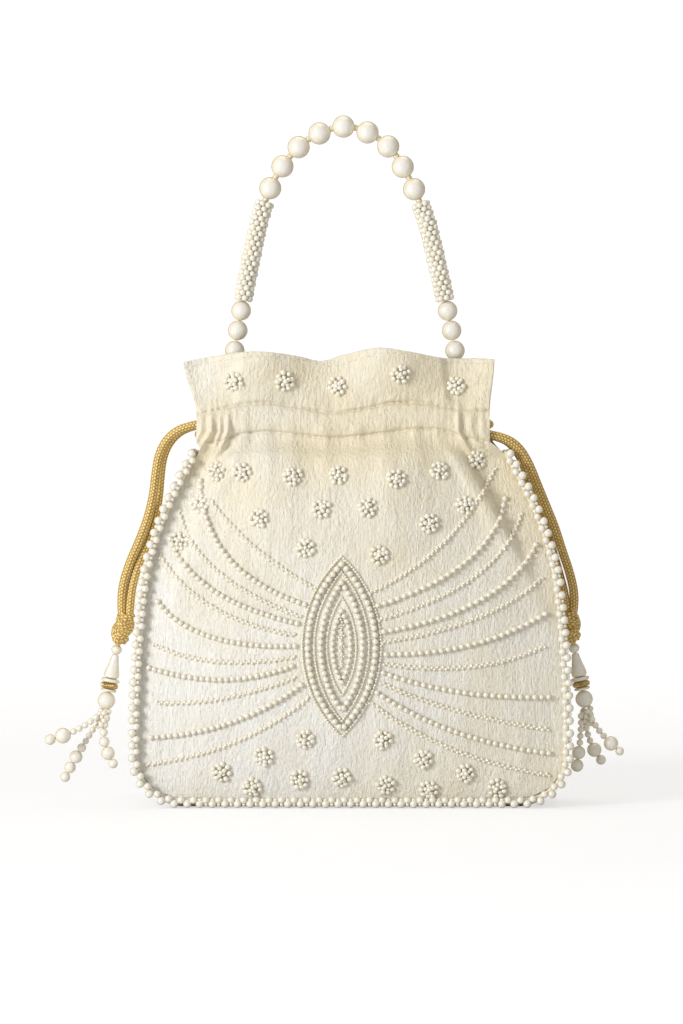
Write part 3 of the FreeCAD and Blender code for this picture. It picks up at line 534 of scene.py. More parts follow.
def ridgeRelief(x, z, side):
    # each ridge leans, widens and fades with its distance from the cords
    fullness = 1.35
    total = np.zeros_like(x + z)
    drop = 168.0 - z
    below = np.clip(drop, 0, None)
    for at, lean, height, width, reachBelow, reachAbove in ridges[side]:
        reach = np.where(drop > 0, reachBelow, reachAbove)
        fade = np.exp(-(drop / reach) ** 2)
        total = total + fullness * height * fade * bump(x, at + lean * below, width + 0.07 * below)
    return total


def flankLine(z, side):
    # the fold between the full middle and the flank: x of the line at a height
    below, above = np.clip(167.0 - z, 0, None), np.clip(z - 176.0, 0, None)
    if side < 0:
        return -51.0 - 0.56 * below + 0.0024 * below ** 2 + 0.06 * above
    return 44.2 + 0.60 * below - 0.0006 * below ** 2 - 0.13 * above


def panelDepth(x, z, side):
    # how far a panel stands from the middle: an arc through both seams and the belly, and
    # on the front full in the middle and pushed back beyond the flank folds near the top
    width, seam = halfWidth(z), station(z, 2)
    extra = pouch["backBulge"] * np.sin(np.pi * np.clip(z / pouch["neck"], 0, 1)) if side > 0 else 0
    rise = station(z, 3) - seam + extra
    radius = (width**2 + rise**2) / (2 * rise)
    arc = seam + rise - radius + np.sqrt(np.maximum(radius**2 - x**2, 0))
    inside = smoothStep(0, 9, width - np.abs(x))
    soft = 0.7 * wobble(x, z * 0.55, 3 + side, 46.0, 2) + 0.24 * wobble(x, z * 0.3, 5 + side, 9.0, 2)
    soft = soft + 0.09 * wobble(x * 1.2, z * 0.5, 8 + side, 4.0, 2)
    if side > 0:
        return arc + inside * (soft + ridgeRelief(x, z, side))
    below = np.clip(166.0 - z, 0, None)
    left, right = x - flankLine(z, -1), x - flankLine(z, 1)
    beyondLeft, beyondRight = smoothStep(1.8, -3.2, left), smoothStep(-1.4, 2.4, right)
    # the full middle stands over both flanks, most at the top, and rolls into its folds
    middle = (1 - beyondLeft) * (1 - beyondRight)
    full = 5.6 * middle - 1.2 * np.maximum(beyondLeft, beyondRight)
    full = full * smoothStep(0, 12, below) * np.exp(-(below / 52) ** 2.6)
    belly = 2.0 * bump(below, 34, 22) * smoothStep(60, 20, np.abs(x + 4))
    wave = 1.6 * swell(x) * np.exp(-(below / 42) ** 2) * middle
    lip = 0.9 * bump(left, 5.0, 3.2) * np.exp(-(below / 36) ** 2)
    lip = lip + 1.7 * bump(right, -4.4, 3.2) * np.exp(-(below / 44) ** 2)
    relief = full + belly + wave + lip * smoothStep(0, 10, below) + ridgeRelief(x, z, side) + soft
    return arc + inside * relief


def channelDepth(x, z, side, low, high):
    # the cloth over the cords: a soft arch from stitch line to stitch line, flatter at its ends
    t = np.clip((z - low) / (high - low), 0, 1)
    half = 2.95 - 1.6 * t**2 + 1.9 * np.sqrt(np.sin(np.pi * t))
    ends = smoothStep(-51.5, -53.5, x) + smoothStep(46.5, 50.0, x)
    depth = (mouth["axisDepth"] + half + ridgeRelief(x, z, side) * 0.85 - 0.5 * ends
             + 0.25 * wobble(x, z, 31 + side, 12.0, 2))
    return np.maximum(depth, 11.6 + 1.5 * smoothStep(174.4, 172.6, z))


def frillDepth(x, z, side):
    # the ruffle: it flares with its waves, and on the front steps back beyond the flank folds
    flare = smoothStep(174, 199, z)
    step = 0
    if side < 0:
        step = smoothStep(1.6, -2.6, x - flankLine(z, -1)) + smoothStep(-1.6, 2.0, x - flankLine(z, 1))
    return (mouth["axisDepth"] + 1.4 + flare * (1.4 + 3.8 * swell(x)) - 1.9 * step * smoothStep(176, 184, z)
            + 0.5 * ridgeRelief(x, z, side) + 0.35 * wobble(x, z, 33 + side, 12.0, 2)
            + 0.45 * np.sin(x / 3.1 + 1.0) * smoothStep(190, 177, z))


def clothDepth(x, z, side):
    # the outer cloth all the way up: panel, channel over the cords, ruffle, joined by soft
    # steps at the stitch lines, with small gathers and a groove along each line
    low, high = bottomStitch(x), topStitch(x)
    channel, frill = channelDepth(x, z, side, low, high), frillDepth(x, z, side)
    mouthCloth = channel + (frill - channel) * smoothStep(high - 0.6, high + 1.6, z)
    pull = smoothStep(low - 9.5, low - 0.2, z)
    below = panelDepth(x, np.minimum(z, 167.0), side)
    base = below * (1 - pull) + (13.4 + 0.9 * ridgeRelief(x, z, side)) * pull
    depth = base + (mouthCloth - base) * smoothStep(low - 0.2, low + 0.9, z)
    nearStitches = np.exp(-np.abs(z - high) / 2.6) + 0.7 * np.exp(-np.abs(z - low) / 2.2)
    gather = 0.28 * np.sin(1.55 * x + 2.0 * np.sin(0.31 * x)) * nearStitches
    groove = 0.8 * bump(z, low, 0.7) + 0.9 * bump(z, high, 0.7)
    return depth + gather - groove


def frontDepth(x, z):
    # the front cloth's distance from the middle
    return clothDepth(x, z, -1)


def foldWithMouth(piece):
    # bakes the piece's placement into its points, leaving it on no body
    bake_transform(piece)
    return piece


def clothPiece(name, side):
    # one cloth from the bottom seam up over the channel and the ruffle, over the rim and
    # down the inside to the channel's lower edge
    columns, outerRows, innerRows = 250, 205, 46
    u = np.sin(np.linspace(-1, 1, columns) * np.pi / 2 * 0.86) / math.sin(np.pi / 2 * 0.86)
    share = np.interp(np.arange(outerRows), [0, 95, 165, 196, 204], [0.0, 0.775, 0.885, 0.985, 1.0])
    low = pouch["seam"] - 0.6
    guess = np.where(u < 0, u * 74, u * 64)
    top = rimHeight(guess, side)
    zOuter = low + (top[None, :] - low) * share[:, None]
    zInner = top[None, :] + (161.0 - top[None, :]) * (np.linspace(0, 1, innerRows) ** 1.5)[1:, None]
    z = np.vstack([zOuter, zInner])
    neck = smoothStep(158.5, 164, z)
    flare = smoothStep(174, 200, z)
    leftEdge = -(halfWidth(z) + 0.5) * (1 - neck) + (mouth["leftEnd"] - mouth["leftFlare"] * flare) * neck
    rightEdge = (halfWidth(z) + 0.5) * (1 - neck) + (mouth["rightEnd"] + mouth["rightFlare"] * flare) * neck
    x = (leftEdge + rightEdge) / 2 + u[None, :] * (rightEdge - leftEdge) / 2
    depth = clothDepth(x, z, side)
    # the thickness closes at the rim and at both upright edges of the ruffle
    toRim = np.clip((top[None, :] - z) / 0.9, 0, 1)
    toSide = np.clip(np.minimum(x - leftEdge, rightEdge - x) / 0.9, 0, 1)
    edge = np.sqrt(1 - (1 - toRim) ** 2) * np.where(z > topStitch(x), np.sqrt(1 - (1 - toSide) ** 2), 1.0)
    thick = 1.7 * edge
    inner = depth - 0.85 - thick / 2
    openTube = smoothStep(topStitch(x) + 2.5, topStitch(x) - 1.5, z)
    inner = inner * (1 - openTube) + 7.0 * openTube
    outer = np.where(z > topStitch(x) + 1, depth - 0.85 + thick / 2, depth)
    y = np.vstack([outer[:outerRows], inner[outerRows:]])
    points = np.stack([x, side * y, z], -1)
    return foldWithMouth(gridPiece(name, points, None, silk, flip=side > 0))


def gussetPiece():
    # the strip between the seams: down one side, under the base and up the other
    low, top, corner = 0.35, pouch["neck"] + 4.5, 20.0
    zSide = np.linspace(top, corner + low, 94)
    turn = np.linspace(0, np.pi / 2, 24)[1:-1]
    xSide = halfWidth(np.maximum(zSide, 23.0))
    edge = float(xSide[-1])
    xTurn = edge - corner + corner * np.cos(turn)
    zTurn = low + corner - corner * np.sin(turn)
    xFlat = np.linspace(edge - corner, 0, 40)
    x = np.concatenate([xSide, xTurn, xFlat])
    z = np.concatenate([zSide, zTurn, np.full(40, low)])
    x = np.concatenate([x, -x[-2::-1]])
    z = np.concatenate([z, z[-2::-1]])
    wide, share = np.meshgrid(x, np.linspace(-1, 1, 41), indexing="ij")
    high = np.repeat(z[:, None], 41, 1)
    deep = share * station(np.maximum(high, 5.0), 2)
    onFloor = smoothStep(14, 2, high)
    ridge = (0.8 * wobble(deep, high * 0.35, 21, 16.0, 2) - 2.2 * (1 - share**2) * smoothStep(20, 70, high)
             + 0.5 * (1 - share**2) * np.sin(high / 5.1) * smoothStep(60, 140, high))
    wide = wide + np.sign(wide) * ridge * (1 - onFloor) * (1 - share**6)
    wide = wide - np.where(wide > 0, 3.6, 0.4) * smoothStep(158.5, 164, high) * np.sign(wide)
    high = high + onFloor * np.clip((np.abs(deep) - 14.0) / 5.7, 0, 1) * 4.6
    piece = gridPiece("gusset_cloth", np.stack([wide, deep, high], -1), "pouch", silk)
    thicken(piece, 0.35)
    return piece


def stitches(name, line, side, length=2.1, gap=1.0, width=0.62):
    # a sewn line: short rounded stitches laid end to end along a line of x and height
    x, z = line[:, 0], line[:, 1]
    path = np.stack([x, side * (clothDepth(x, z, side) + 0.02), z], -1)
    spots = evenly(path, length + gap)
    along = np.gradient(spots, axis=0)
    along /= np.linalg.norm(along, axis=1, keepdims=True)
    up = np.cross(along, [0.0, 1.0, 0.0])
    up /= np.linalg.norm(up, axis=1, keepdims=True)
    turn = np.stack([along * length / 2, up * width / 2, np.cross(along, up) * 0.22], 1)
    ball, faces = unitBall(6, 6)
    ball = ball[:, [2, 0, 1]]
    verts = (spots[:, None] + np.einsum("vk,nkj->nvj", ball, turn)).reshape(-1, 3)
    allFaces = [[i + k * len(ball) for i in f] for k in range(len(spots)) for f in faces]
    return foldWithMouth(newPiece(name, verts, allFaces, None, stitchThread))


def evenly(points, pitch, closed=False):
    # positions one pitch apart along a chain, by its running length
    steps = np.linalg.norm(np.diff(points, axis=0), axis=1)
    run = np.concatenate([[0], np.cumsum(steps)])
    count = max(int(round(run[-1] / pitch)), 1)
    wanted = np.linspace(0, run[-1], count + 1)
    if closed:
        wanted = wanted[:-1]
    return np.stack([np.interp(wanted, run, points[:, k]) for k in range(points.shape[1])], -1)


frontCloth = clothPiece("front_cloth", -1)
backCloth = clothPiece("back_cloth", 1)
gusset = gussetPiece()
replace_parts(frontCloth, "front_panel", "front_casing", "front_ruffle")
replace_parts(backCloth, "back_panel", "back_casing", "back_ruffle")
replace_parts(gusset, "side_gusset")
for side, name in ((-1, "front"), (1, "back")):
    body = name + "_mouth"
    leftRim, rightRim = mouth["leftEnd"] - mouth["leftFlare"], mouth["rightEnd"] + mouth["rightFlare"]
    across = np.linspace(mouth["leftEnd"] + 0.8, mouth["rightEnd"] - 0.8, 400)
    wide = np.linspace(leftRim + 1.6, rightRim - 1.6, 400)
    height = np.linspace(178.0, 198.0, 60)
    flare = smoothStep(174, 200, height)
    for label, x, z in (
        ("lower_channel", across, bottomStitch(across)),
        ("upper_channel", across, topStitch(across)),
        ("rim", wide, rimHeight(wide, side) - 2.3),
        ("left_hem", mouth["leftEnd"] + 2.0 - mouth["leftFlare"] * flare, height),
        ("right_hem", mouth["rightEnd"] - 2.6 + mouth["rightFlare"] * flare, height),
    ):
        stitches(f"{name}_{label}_stitching", np.stack([x, z], -1), side)
print("fabric ready")


# ---------- embroidery on the front ----------

def onFront(x, z, stand):
    # points standing off the front along its own normal
    x, z = np.asarray(x, float), np.asarray(z, float)
    step = 0.6
    slopeX = (frontDepth(x + step, z) - frontDepth(x - step, z)) / (2 * step)
    slopeZ = (frontDepth(x, z + step) - frontDepth(x, z - step)) / (2 * step)
    normal = np.stack([-slopeX, np.ones_like(x), -slopeZ], -1)
    normal /= np.linalg.norm(normal, axis=-1, keepdims=True)
    point = np.stack([x, frontDepth(x, z), z], -1) + normal * np.asarray(stand)[..., None]
    return point * [1, -1, 1]


def alongFront(line, stand):
    # the points of a line of x and height, all standing the same distance off the front
    return onFront(line[:, 0], line[:, 1], np.full(len(line), stand))


motif = {"centre": (-4.2, 72.4),
         # half width, half height, bead diameter, pitch
         "rows": [(17.5, 40.0, 1.3, 1.35), (15.0, 36.5, 2.9, 2.95), (12.1, 33.0, 1.3, 1.35),
                  (9.3, 28.3, 2.8, 2.85), (6.5, 21.8, 1.2, 1.3), (4.0, 15.7, 2.4, 2.5)]}


def almond(half, high, count=900):
    # the pointed oval: two circle arcs that meet at its tips
    turn = np.linspace(0, 2 * np.pi, count)
    radius = (half**2 + high**2) / (2 * half)
    angle = math.asin(high / radius) * np.cos(turn)
    x = (radius * np.cos(angle) - (radius - half)) * np.where(np.sin(turn) < 0, -1, 1)
    return np.stack([motif["centre"][0] + x, motif["centre"][1] + radius * np.sin(angle)], -1)


def motifPieces():
    # rows of pearls and seeds along almond shapes, one inside the other
    pearls, seeds = [], []
    for half, high, size, pitch in motif["rows"]:
        line = evenly(almond(half, high), pitch, closed=True)
        (pearls if size > 2 else seeds).append((alongFront(line, size * 0.42), np.full(len(line), size)))
    spots, sizes = (np.concatenate(part) for part in zip(*pearls))
    piece = beads("motif_pearl_rows", spots, sizes, "pouch", pearlLook, 10, 7)
    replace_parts(piece, "motif_pearls")
    ground("motif_ground", [almond(half, high, 300) for half, high, _, _ in motif["rows"]], 1.0)
    # twisted loops of seed beads up the open middle
    t = np.linspace(0, 1, 60)
    for k in range(5):
        z0 = motif["centre"][1] - 9.6 + 4.6 * k
        x = motif["centre"][0] - 0.9 + 1.9 * t + 0.7 * np.sin(2 * np.pi * t)
        line = evenly(np.stack([x, z0 + 5.2 * t], -1), 1.2)
        seeds.append((alongFront(line, 0.7), np.full(len(line), 1.2)))
    spots, sizes = (np.concatenate(part) for part in zip(*seeds))
    beads("motif_seed_lines", spots, sizes, "pouch", seedLook, 7, 5)


# eleven lines a side, top to bottom: where each starts, the point it bends towards and
# where it ends, as x outward from the middle line and height, in mm
rays = {
    1: [(12.4, 96.2, 50, 113, 68.5, 151.0), (16.0, 90.6, 66.0, 106, 73.0, 137.5),
        (16.6, 84.4, 70, 99, 80.3, 131), (18.6, 79.0, 71, 88, 86.6, 117),
        (18.0, 74.2, 68, 82, 89.3, 102.5), (19.6, 69.0, 60, 68.5, 90.5, 86.3),
        (18.8, 64.8, 60, 58, 90.2, 72), (18.4, 60.8, 50, 49, 92.0, 49.4), (17.4, 56.4, 47, 42, 92.0, 35),
        (15.6, 52.0, 46, 31, 92.2, 24.4), (12.6, 47.6, 46, 22, 92.6, 14.6)],
    -1: [(12.0, 98.2, 42, 115, 58.5, 137.2), (16.4, 91.0, 62, 106, 62.8, 145.5),
         (18.2, 85.6, 66, 103, 72.6, 132.2), (19.6, 82.6, 66, 93, 76.6, 119.6),
         (20.8, 77.4, 63, 84, 81.2, 112.4), (20.6, 72.6, 66, 71, 81.8, 91.7),
         (20.8, 67.6, 60, 61, 83.6, 72.8), (22.0, 63.8, 52, 52, 85.8, 62.4), (20.8, 58.6, 52, 46, 82.2, 46.7),
         (18.0, 55.4, 46, 34, 84.8, 31.4), (14.6, 49.6, 44, 25, 86.6, 19.3)],
}


def rayPieces():
    # each line bends once from its start to its end; pearl rows and seed rows take turns
    for side, lines in rays.items():
        name = "right" if side > 0 else "left"
        pearls, seeds, drawn = [], [], []
        for k, (x0, z0, xBend, zBend, x1, z1) in enumerate(lines):
            t = np.linspace(0, 1, 200)
            x = (1 - t)**2 * x0 + 2 * t * (1 - t) * xBend + t**2 * x1
            z = (1 - t)**2 * z0 + 2 * t * (1 - t) * zBend + t**2 * z1
            x = motif["centre"][0] + side * x
            drawn.append(np.stack([x, z], -1))
            if k % 2:
                line = evenly(np.stack([x, z], -1), 3.1 if side > 0 else 2.75)
                pearls.append(alongFront(line, 0.95))
            else:
                # one row of seeds that step from side to side
                line = evenly(np.stack([x, z], -1), 1.25)
                along = np.gradient(line, axis=0)
                normal = np.stack([-along[:, 1], along[:, 0]], -1)
                normal /= np.linalg.norm(normal, axis=1, keepdims=True)
                sway = np.where(np.arange(len(line)) % 2, 1, -1)[:, None] * 0.42 + sewingJitter(len(line))
                line = line + normal * sway
                seeds.append(alongFront(line, 0.5))
        piece = beads(name + "_ray_pearl_rows", np.vstack(pearls), 2.6, "pouch", pearlLook, 9, 6)
        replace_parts(piece, name + "_ray_pearls")
        beads(name + "_ray_seed_rows", np.vstack(seeds), 1.5, "pouch", seedLook, 7, 5)
        ground(name + "_ray_ground", drawn, 1.4)


def ground(name, lines, width):
    # a low padded line under the small beads, so the cloth does not show dark between them
    verts, faces = [], []
    turn = 2 * np.pi * np.arange(6) / 6
    for line in lines:
        line = evenly(line, 1.5)
        centre = alongFront(line, 0.15)
        along = np.gradient(centre, axis=0)
        along /= np.linalg.norm(along, axis=1, keepdims=True)
        side = np.cross(along, [0.0, 1.0, 0.0])
        side /= np.linalg.norm(side, axis=1, keepdims=True)
        out = np.cross(along, side)
        around = (np.cos(turn)[None, :, None] * side[:, None]
                  + 0.7 * np.sin(turn)[None, :, None] * out[:, None])
        ring = centre[:, None] + width / 2 * around
        faces += (gridFaces(len(line), 6, wrapColumns=True) + sum(len(v) for v in verts)).tolist()
        verts.append(ring.reshape(-1, 3))
    return newPiece(name, np.vstack(verts), faces, "pouch", underlay)


def sewingJitter(count):
    # a little unevenness in the hand sewing
    return rng.uniform(-0.16, 0.16, (count, 1))


rosettes = {
    "body": [(-60.0, 149.8), (-48.5, 149.5), (-26.0, 147.6), (-5.8, 148.0), (20.1, 146.6), (39.2, 150.2),
             (-40.9, 129.1), (-13.2, 133.3), (7.5, 133.8), (34.6, 126.8), (-20.2, 116.0), (12.5, 112.9),
             (-67.6, 135.4), (50.7, 134.9), (56.2, 155.1), (-76.4, 118.7),
             (-20.2, 31.0), (-38.8, 23.3), (-57.8, 16.3), (-44.0, 9.6), (-22.9, 12.9), (-4.1, 13.9),
             (14.0, 31.0), (32.0, 22.2), (50.8, 15.7), (15.4, 10.7), (34.7, 8.6), (65.2, 8.9)],
    "ruffle": [(-52.3, 190.2), (-29.8, 190.2), (-6.2, 188.0), (22.1, 193.4), (46.7, 188.0)],
}


def rosetteSpots(spots, place):
    # one low bead in the middle, nine round the rim, five raised and one on top, all uneven
    centres, sizes = [], []
    for x, z in spots:
        start = rng.uniform(0, 0.7)
        centres.append(place(np.array([x]), np.array([z]), np.array([0.1])))
        sizes.append(np.array([2.6]))
        for count, reach, stand, size in ((9, 3.4, 0.55, 2.55), (5, 1.75, 1.05, 2.35), (1, 0.0, 1.7, 2.3)):
            ring = start + 2 * np.pi * np.arange(count) / count + rng.uniform(-0.12, 0.12, count)
            far = reach + rng.uniform(-0.35, 0.35, count)
            height = stand + rng.uniform(-0.2, 0.2, count)
            centres.append(place(x + far * np.cos(ring), z + far * np.sin(ring), height))
            sizes.append(size * rng.uniform(0.86, 1.06, count))
    return np.vstack(centres), np.concatenate(sizes)


def rosettePieces():
    # little heaps of seed beads on the front and on its ruffle
    for part, body in (("body", "pouch"), ("ruffle", "front_mouth")):
        spots, sizes = rosetteSpots(rosettes[part], onFront)
        piece = beads(part + "_bead_rosettes", spots, sizes, body, seedLook, 8, 6)
        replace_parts(piece, part + "_rosettes")


motifPieces()
rayPieces()
rosettePieces()
print("embroidery ready")


# ---------- trim, handle and tassel pearls at the CAD solids' own places ----------

def trimFromNode(node, size, between):
    # the sewn edge: the CAD's pearls with a smaller bead between each two
    centres, _ = solidsOf(node)
    gaps = np.linalg.norm(np.diff(centres, axis=0), axis=1)
    middles = ((centres[1:] + centres[:-1]) / 2)[gaps < 9.0]
    spots = np.vstack([centres, middles])
    sizes = np.concatenate([np.full(len(centres), size), np.full(len(middles), between)])
    spots[:, 2] = np.maximum(spots[:, 2], sizes / 2 + 0.05)
    piece = beads(node + "_round", spots, sizes, "pouch", pearlLook, 12, 8)
    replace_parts(piece, node)


for seam in ("front", "back"):
    trimFromNode(seam + "_outer_trim", 3.9, 1.9)
    trimFromNode(seam + "_inner_trim", 3.4, 1.9)
for node, body, size in (
    ("arch_pearls", "handle", 10.1), ("lower_pearls", "handle", 8.95), ("anchor_pearls", "pouch", 8.9),
):
    centres, _ = solidsOf(node)
    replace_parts(beads(node + "_round", centres, size, body, largePearl, 36, 24, 0.0), node)
centres, _ = solidsOf("handle_spacers")
piece = beads("handle_spacer_beads", centres, 2.9, "handle", spacerLook, 16, 10, 0.0)
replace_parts(piece, "handle_spacers")
for side in ("left", "right"):
    centres, _ = solidsOf(side + "_sleeve_seeds")
    piece = beads(side + "_sleeve_beads", centres, 3.1, "handle", seedLook, 10, 7, 0.14)
    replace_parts(piece, side + "_sleeve_seeds")
    node = side + "_round_pearl"
    centres, sizes = solidsOf(node)
    piece = beads(node + "_round", centres, sizes.max(axis=1), side + "_tassel", largePearl, 28, 20)
    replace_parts(piece, node)
print("pearls ready")

plainLooks = {
    "pouch_lining": liningSatin, "base_board": boardLook, "front_piping": silk, "back_piping": silk,
    "handle_wire": wireLook, "anchor_pins": wireLook,
    "left_handle_tab": silk, "right_handle_tab": silk,
    "left_tassel_thread": whiteThread, "right_tassel_thread": whiteThread,
    "left_sleeve_core": whiteThread, "right_sleeve_core": whiteThread,
}
for node, material in plainLooks.items():
    for slot in bpy.data.objects[node].material_slots:
        slot.material = material


# ---------- drawcords ----------

cordFacts = {"diameter": 4.2, "loopLength": 1.55, "columns": 10}
strandRoutes = {
    "left_strand_front": [
        (-67.3, -10.5, 170.9), (-74.6, -9.9, 169.8), (-81.6, -8.2, 165.4), (-86.0, -6.2, 158.0),
        (-87.6, -4.6, 148.8), (-88.7, -3.2, 139.0), (-91.2, -2.2, 128.8), (-95.0, -1.4, 118.8),
        (-99.4, -0.8, 109.0), (-102.6, -0.4, 99.2), (-103.4, 0.0, 89.6), (-102.8, 0.0, 84.0),
    ],
    "left_strand_back": [
        (-67.3, 10.5, 170.9), (-74.2, 9.9, 169.6), (-80.8, 8.4, 164.8), (-84.8, 6.6, 157.0),
        (-86.0, 5.0, 147.6), (-86.6, 3.6, 137.6), (-88.4, 2.4, 127.4), (-91.8, 1.6, 117.4),
        (-95.8, 0.9, 107.6), (-98.6, 0.4, 98.0), (-99.5, 0.0, 88.8), (-99.9, 0.0, 84.0),
    ],
    "right_strand_front": [
        (61.3, -10.5, 166.3), (68.8, -9.9, 165.2), (75.6, -8.4, 160.4), (80.2, -6.4, 152.6),
        (83.8, -4.8, 143.6), (87.8, -3.4, 134.0), (91.8, -2.2, 124.4), (95.0, -1.3, 114.2),
        (98.4, -0.8, 104.6), (100.6, -0.3, 95.2), (100.4, 0.0, 88.0), (99.8, 0.0, 84.6),
    ],
    "right_strand_back": [
        (61.3, 10.5, 166.3), (68.6, 9.9, 165.0), (74.8, 8.4, 159.8), (78.6, 6.4, 151.6),
        (81.4, 4.8, 142.4), (84.6, 3.4, 132.8), (88.2, 2.4, 123.2), (91.0, 1.6, 113.2),
        (93.8, 0.9, 103.6), (96.2, 0.3, 94.6), (97.0, 0.0, 87.6), (97.2, 0.0, 84.4),
    ],
}


def splinePath(name, points):
    # the smooth line of a cord: a NURBS spline on the route's points, read back as points in mm
    curve = bpy.data.curves.new(name + "_line", "CURVE")
    curve.dimensions = "3D"
    spline = curve.splines.new("NURBS")
    spline.points.add(len(points) - 1)
    flat = np.array([(x * mm, y * mm, z * mm, 1.0) for x, y, z in points]).ravel()
    spline.points.foreach_set("co", flat)
    spline.order_u = 3
    spline.use_endpoint_u = True
    spline.resolution_u = 24
    holder = bpy.data.objects.new(name + "_line", curve)
    bpy.context.scene.collection.objects.link(holder)
    bpy.context.view_layer.update()
    mesh = bpy.data.meshes.new_from_object(holder)
    co = np.empty(len(mesh.vertices) * 3)
    mesh.vertices.foreach_get("co", co)
    bpy.data.objects.remove(holder)
    bpy.data.meshes.remove(mesh)
    return co.reshape(-1, 3) / mm


def carriedFrame(path):
    # direction of the path and two sides that turn as little as they can along it
    along = np.gradient(path, axis=0)
    along /= np.linalg.norm(along, axis=1, keepdims=True)
    side = np.cross(along, [0.0, 1.0, 0.0])
    side /= np.maximum(np.linalg.norm(side, axis=1, keepdims=True), 1e-6)
    return along, side, np.cross(along, side)


def braidTube(name, path, diameter, body, around=40, step=0.24):
    # a knitted cord: small round loops in rows that step half a loop from column to column
    path = evenly(path, step)
    run = np.concatenate([[0], np.cumsum(np.linalg.norm(np.diff(path, axis=0), axis=1))])
    along, side, other = carriedFrame(path)
    turn = 2 * np.pi * np.arange(around) / around
    reach, angle = np.meshgrid(run, turn, indexing="ij")
    column = angle / (2 * np.pi) * cordFacts["columns"]
    odd = np.floor(column).astype(int) % 2
    across = np.sin(np.pi * (column - np.floor(column)))
    loop = 0.5 + 0.5 * np.cos(2 * np.pi * (reach / cordFacts["loopLength"] + 0.5 * odd))
    relief = across ** 0.7 * (0.15 + 0.85 * loop)
    radius = diameter / 2 * (0.88 + 0.17 * relief)
    outward = np.cos(angle)[..., None] * side[:, None] + np.sin(angle)[..., None] * other[:, None]
    points = path[:, None] + radius[..., None] * outward
    verts = np.vstack([points.reshape(-1, 3), path[:1], path[-1:]])
    # the loops' relief, kept on the points so the gold cord's colour paints shade in the grooves and
    # highlight on the loop tops
    shade = np.concatenate([relief.ravel(), [0.2, 0.2]])
    faces = closedTube(len(path), around)
    return newPiece(name, verts, faces, body, goldCord, {"relief": shade}), path


def cordPieces():
    # the free strands, each a braid along its own line
    for name, route in strandRoutes.items():
        side = name.split("_")[0]
        line = splinePath(name, route)
        piece, path = braidTube(name + "_braid", line, cordFacts["diameter"], side + "_drawcord")
        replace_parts(piece, name)


def channelCords():
    # the runs inside the channel and the bend at each far end
    for side, out in (("left", 1), ("right", -1)):
        centres, sizes = solidsOf(side + "_cord_runs")
        for k in range(2):
            reach = sizes[k][0] / 2
            ends = np.array([centres[k] - [reach, 0, 0], centres[k] + [reach, 0, 0]])
            name, body = f"{side}_cord_run_{k}", side + "_drawcord"
            piece, _ = braidTube(name, ends, cordFacts["diameter"], body, 30, 0.3)
            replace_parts(piece, side + "_cord_runs")
        far, _ = solidsOf(side + "_cord_far_loop")
        turn = np.linspace(-np.pi / 2, np.pi / 2, 60)
        x = far[0][0] + out * (3.0 * np.cos(turn) ** 0.5 - 5.0)
        line = np.stack([x, mouth["axisDepth"] * np.sin(turn), np.full(60, far[0][2])], -1)
        piece, _ = braidTube(side + "_far_bend", line, cordFacts["diameter"] * 0.94, "pouch")
        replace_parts(piece, side + "_cord_far_loop")


# the knot's foot and top and the tassel's hinge, as x and height, and which way is outward
tasselPlaces = {
    "left": {"foot": (-104.7, 72.0), "top": (-100.8, 85.3), "hinge": (-105.5, 69.4), "out": -1},
    "right": {"foot": (99.9, 72.8), "top": (98.0, 86.4), "hinge": (100.5, 70.1), "out": 1},
}


def knotPieces():
    # each knot: a braided cord wound round the two strands, with one turn crossing over it
    for side, place in tasselPlaces.items():
        foot, top = (np.array([place[end][0], 0, place[end][1]]) for end in ("foot", "top"))
        axis = (top - foot) / np.linalg.norm(top - foot)
        sideways = np.cross(axis, [0.0, 1.0, 0.0])
        length = float(np.linalg.norm(top - foot))
        # turns, start, end, radius, lean, cord diameter and first angle of each winding
        turnsOf = ((2.6, 0.9, length + 0.6, 2.5, 0.9, 3.7, 0.6),
                   (-1.5, 2.2, length - 0.6, 3.0, 2.6, 3.5, 2.4),
                   (0.9, 2.6, length - 2.0, 3.1, 2.2, 3.5, 4.4))
        for k, (turns, start, end, radius, lean, size, phase) in enumerate(turnsOf):
            t = np.linspace(0, 1, 240)
            angle = 2 * np.pi * turns * t + phase
            height = start + (end - start) * t + lean * np.sin(angle)
            bulge = radius * (0.80 + 0.25 * np.sin(np.pi * t))
            line = foot + height[:, None] * axis + bulge[:, None] * (
                np.cos(angle)[:, None] * sideways + np.sin(angle)[:, None] * np.array([0.0, 1.0, 0.0]))
            piece, _ = braidTube(f"{side}_knot_turn_{k}", line, size, side + "_drawcord")
            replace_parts(piece, side + "_knot")
        line = np.linspace(foot + 0.6 * axis, top, 40)
        core, _ = braidTube(side + "_knot_core", line, 6.6, side + "_drawcord", 60)
        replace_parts(core, side + "_knot")


def stringPieces():
    # each tassel's strings: beads at the places of the node they replace
    for side in ("left", "right"):
        centres, sizes = solidsOf(side + "_string_beads")
        pearlAt, _ = solidsOf(side + "_round_pearl")
        capAt, _ = solidsOf(side + "_cap_pearl")
        down = (pearlAt[0] - capAt[0]) / np.linalg.norm(pearlAt[0] - capAt[0])
        # a knot of small beads turning round the thread just under the round pearl
        count = 18
        step = np.arange(count)
        turn = 2.4 * step
        sideways = np.cross(down, [0.0, 1.0, 0.0])
        spots = pearlAt[0] + down * (4.8 + 0.42 * step)[:, None] + (1.9 - 0.03 * step)[:, None] * (
            np.cos(turn)[:, None] * sideways + np.sin(turn)[:, None] * np.array([0.0, 1.0, 0.0]))
        wide = np.concatenate([sizes.max(axis=1) * 1.02, np.full(count, 2.7)])
        spots = np.vstack([centres, spots])
        piece = beads(side + "_strings", spots, wide, side + "_tassel", largePearl, 20, 14, 0.0)
        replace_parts(piece, side + "_string_beads")


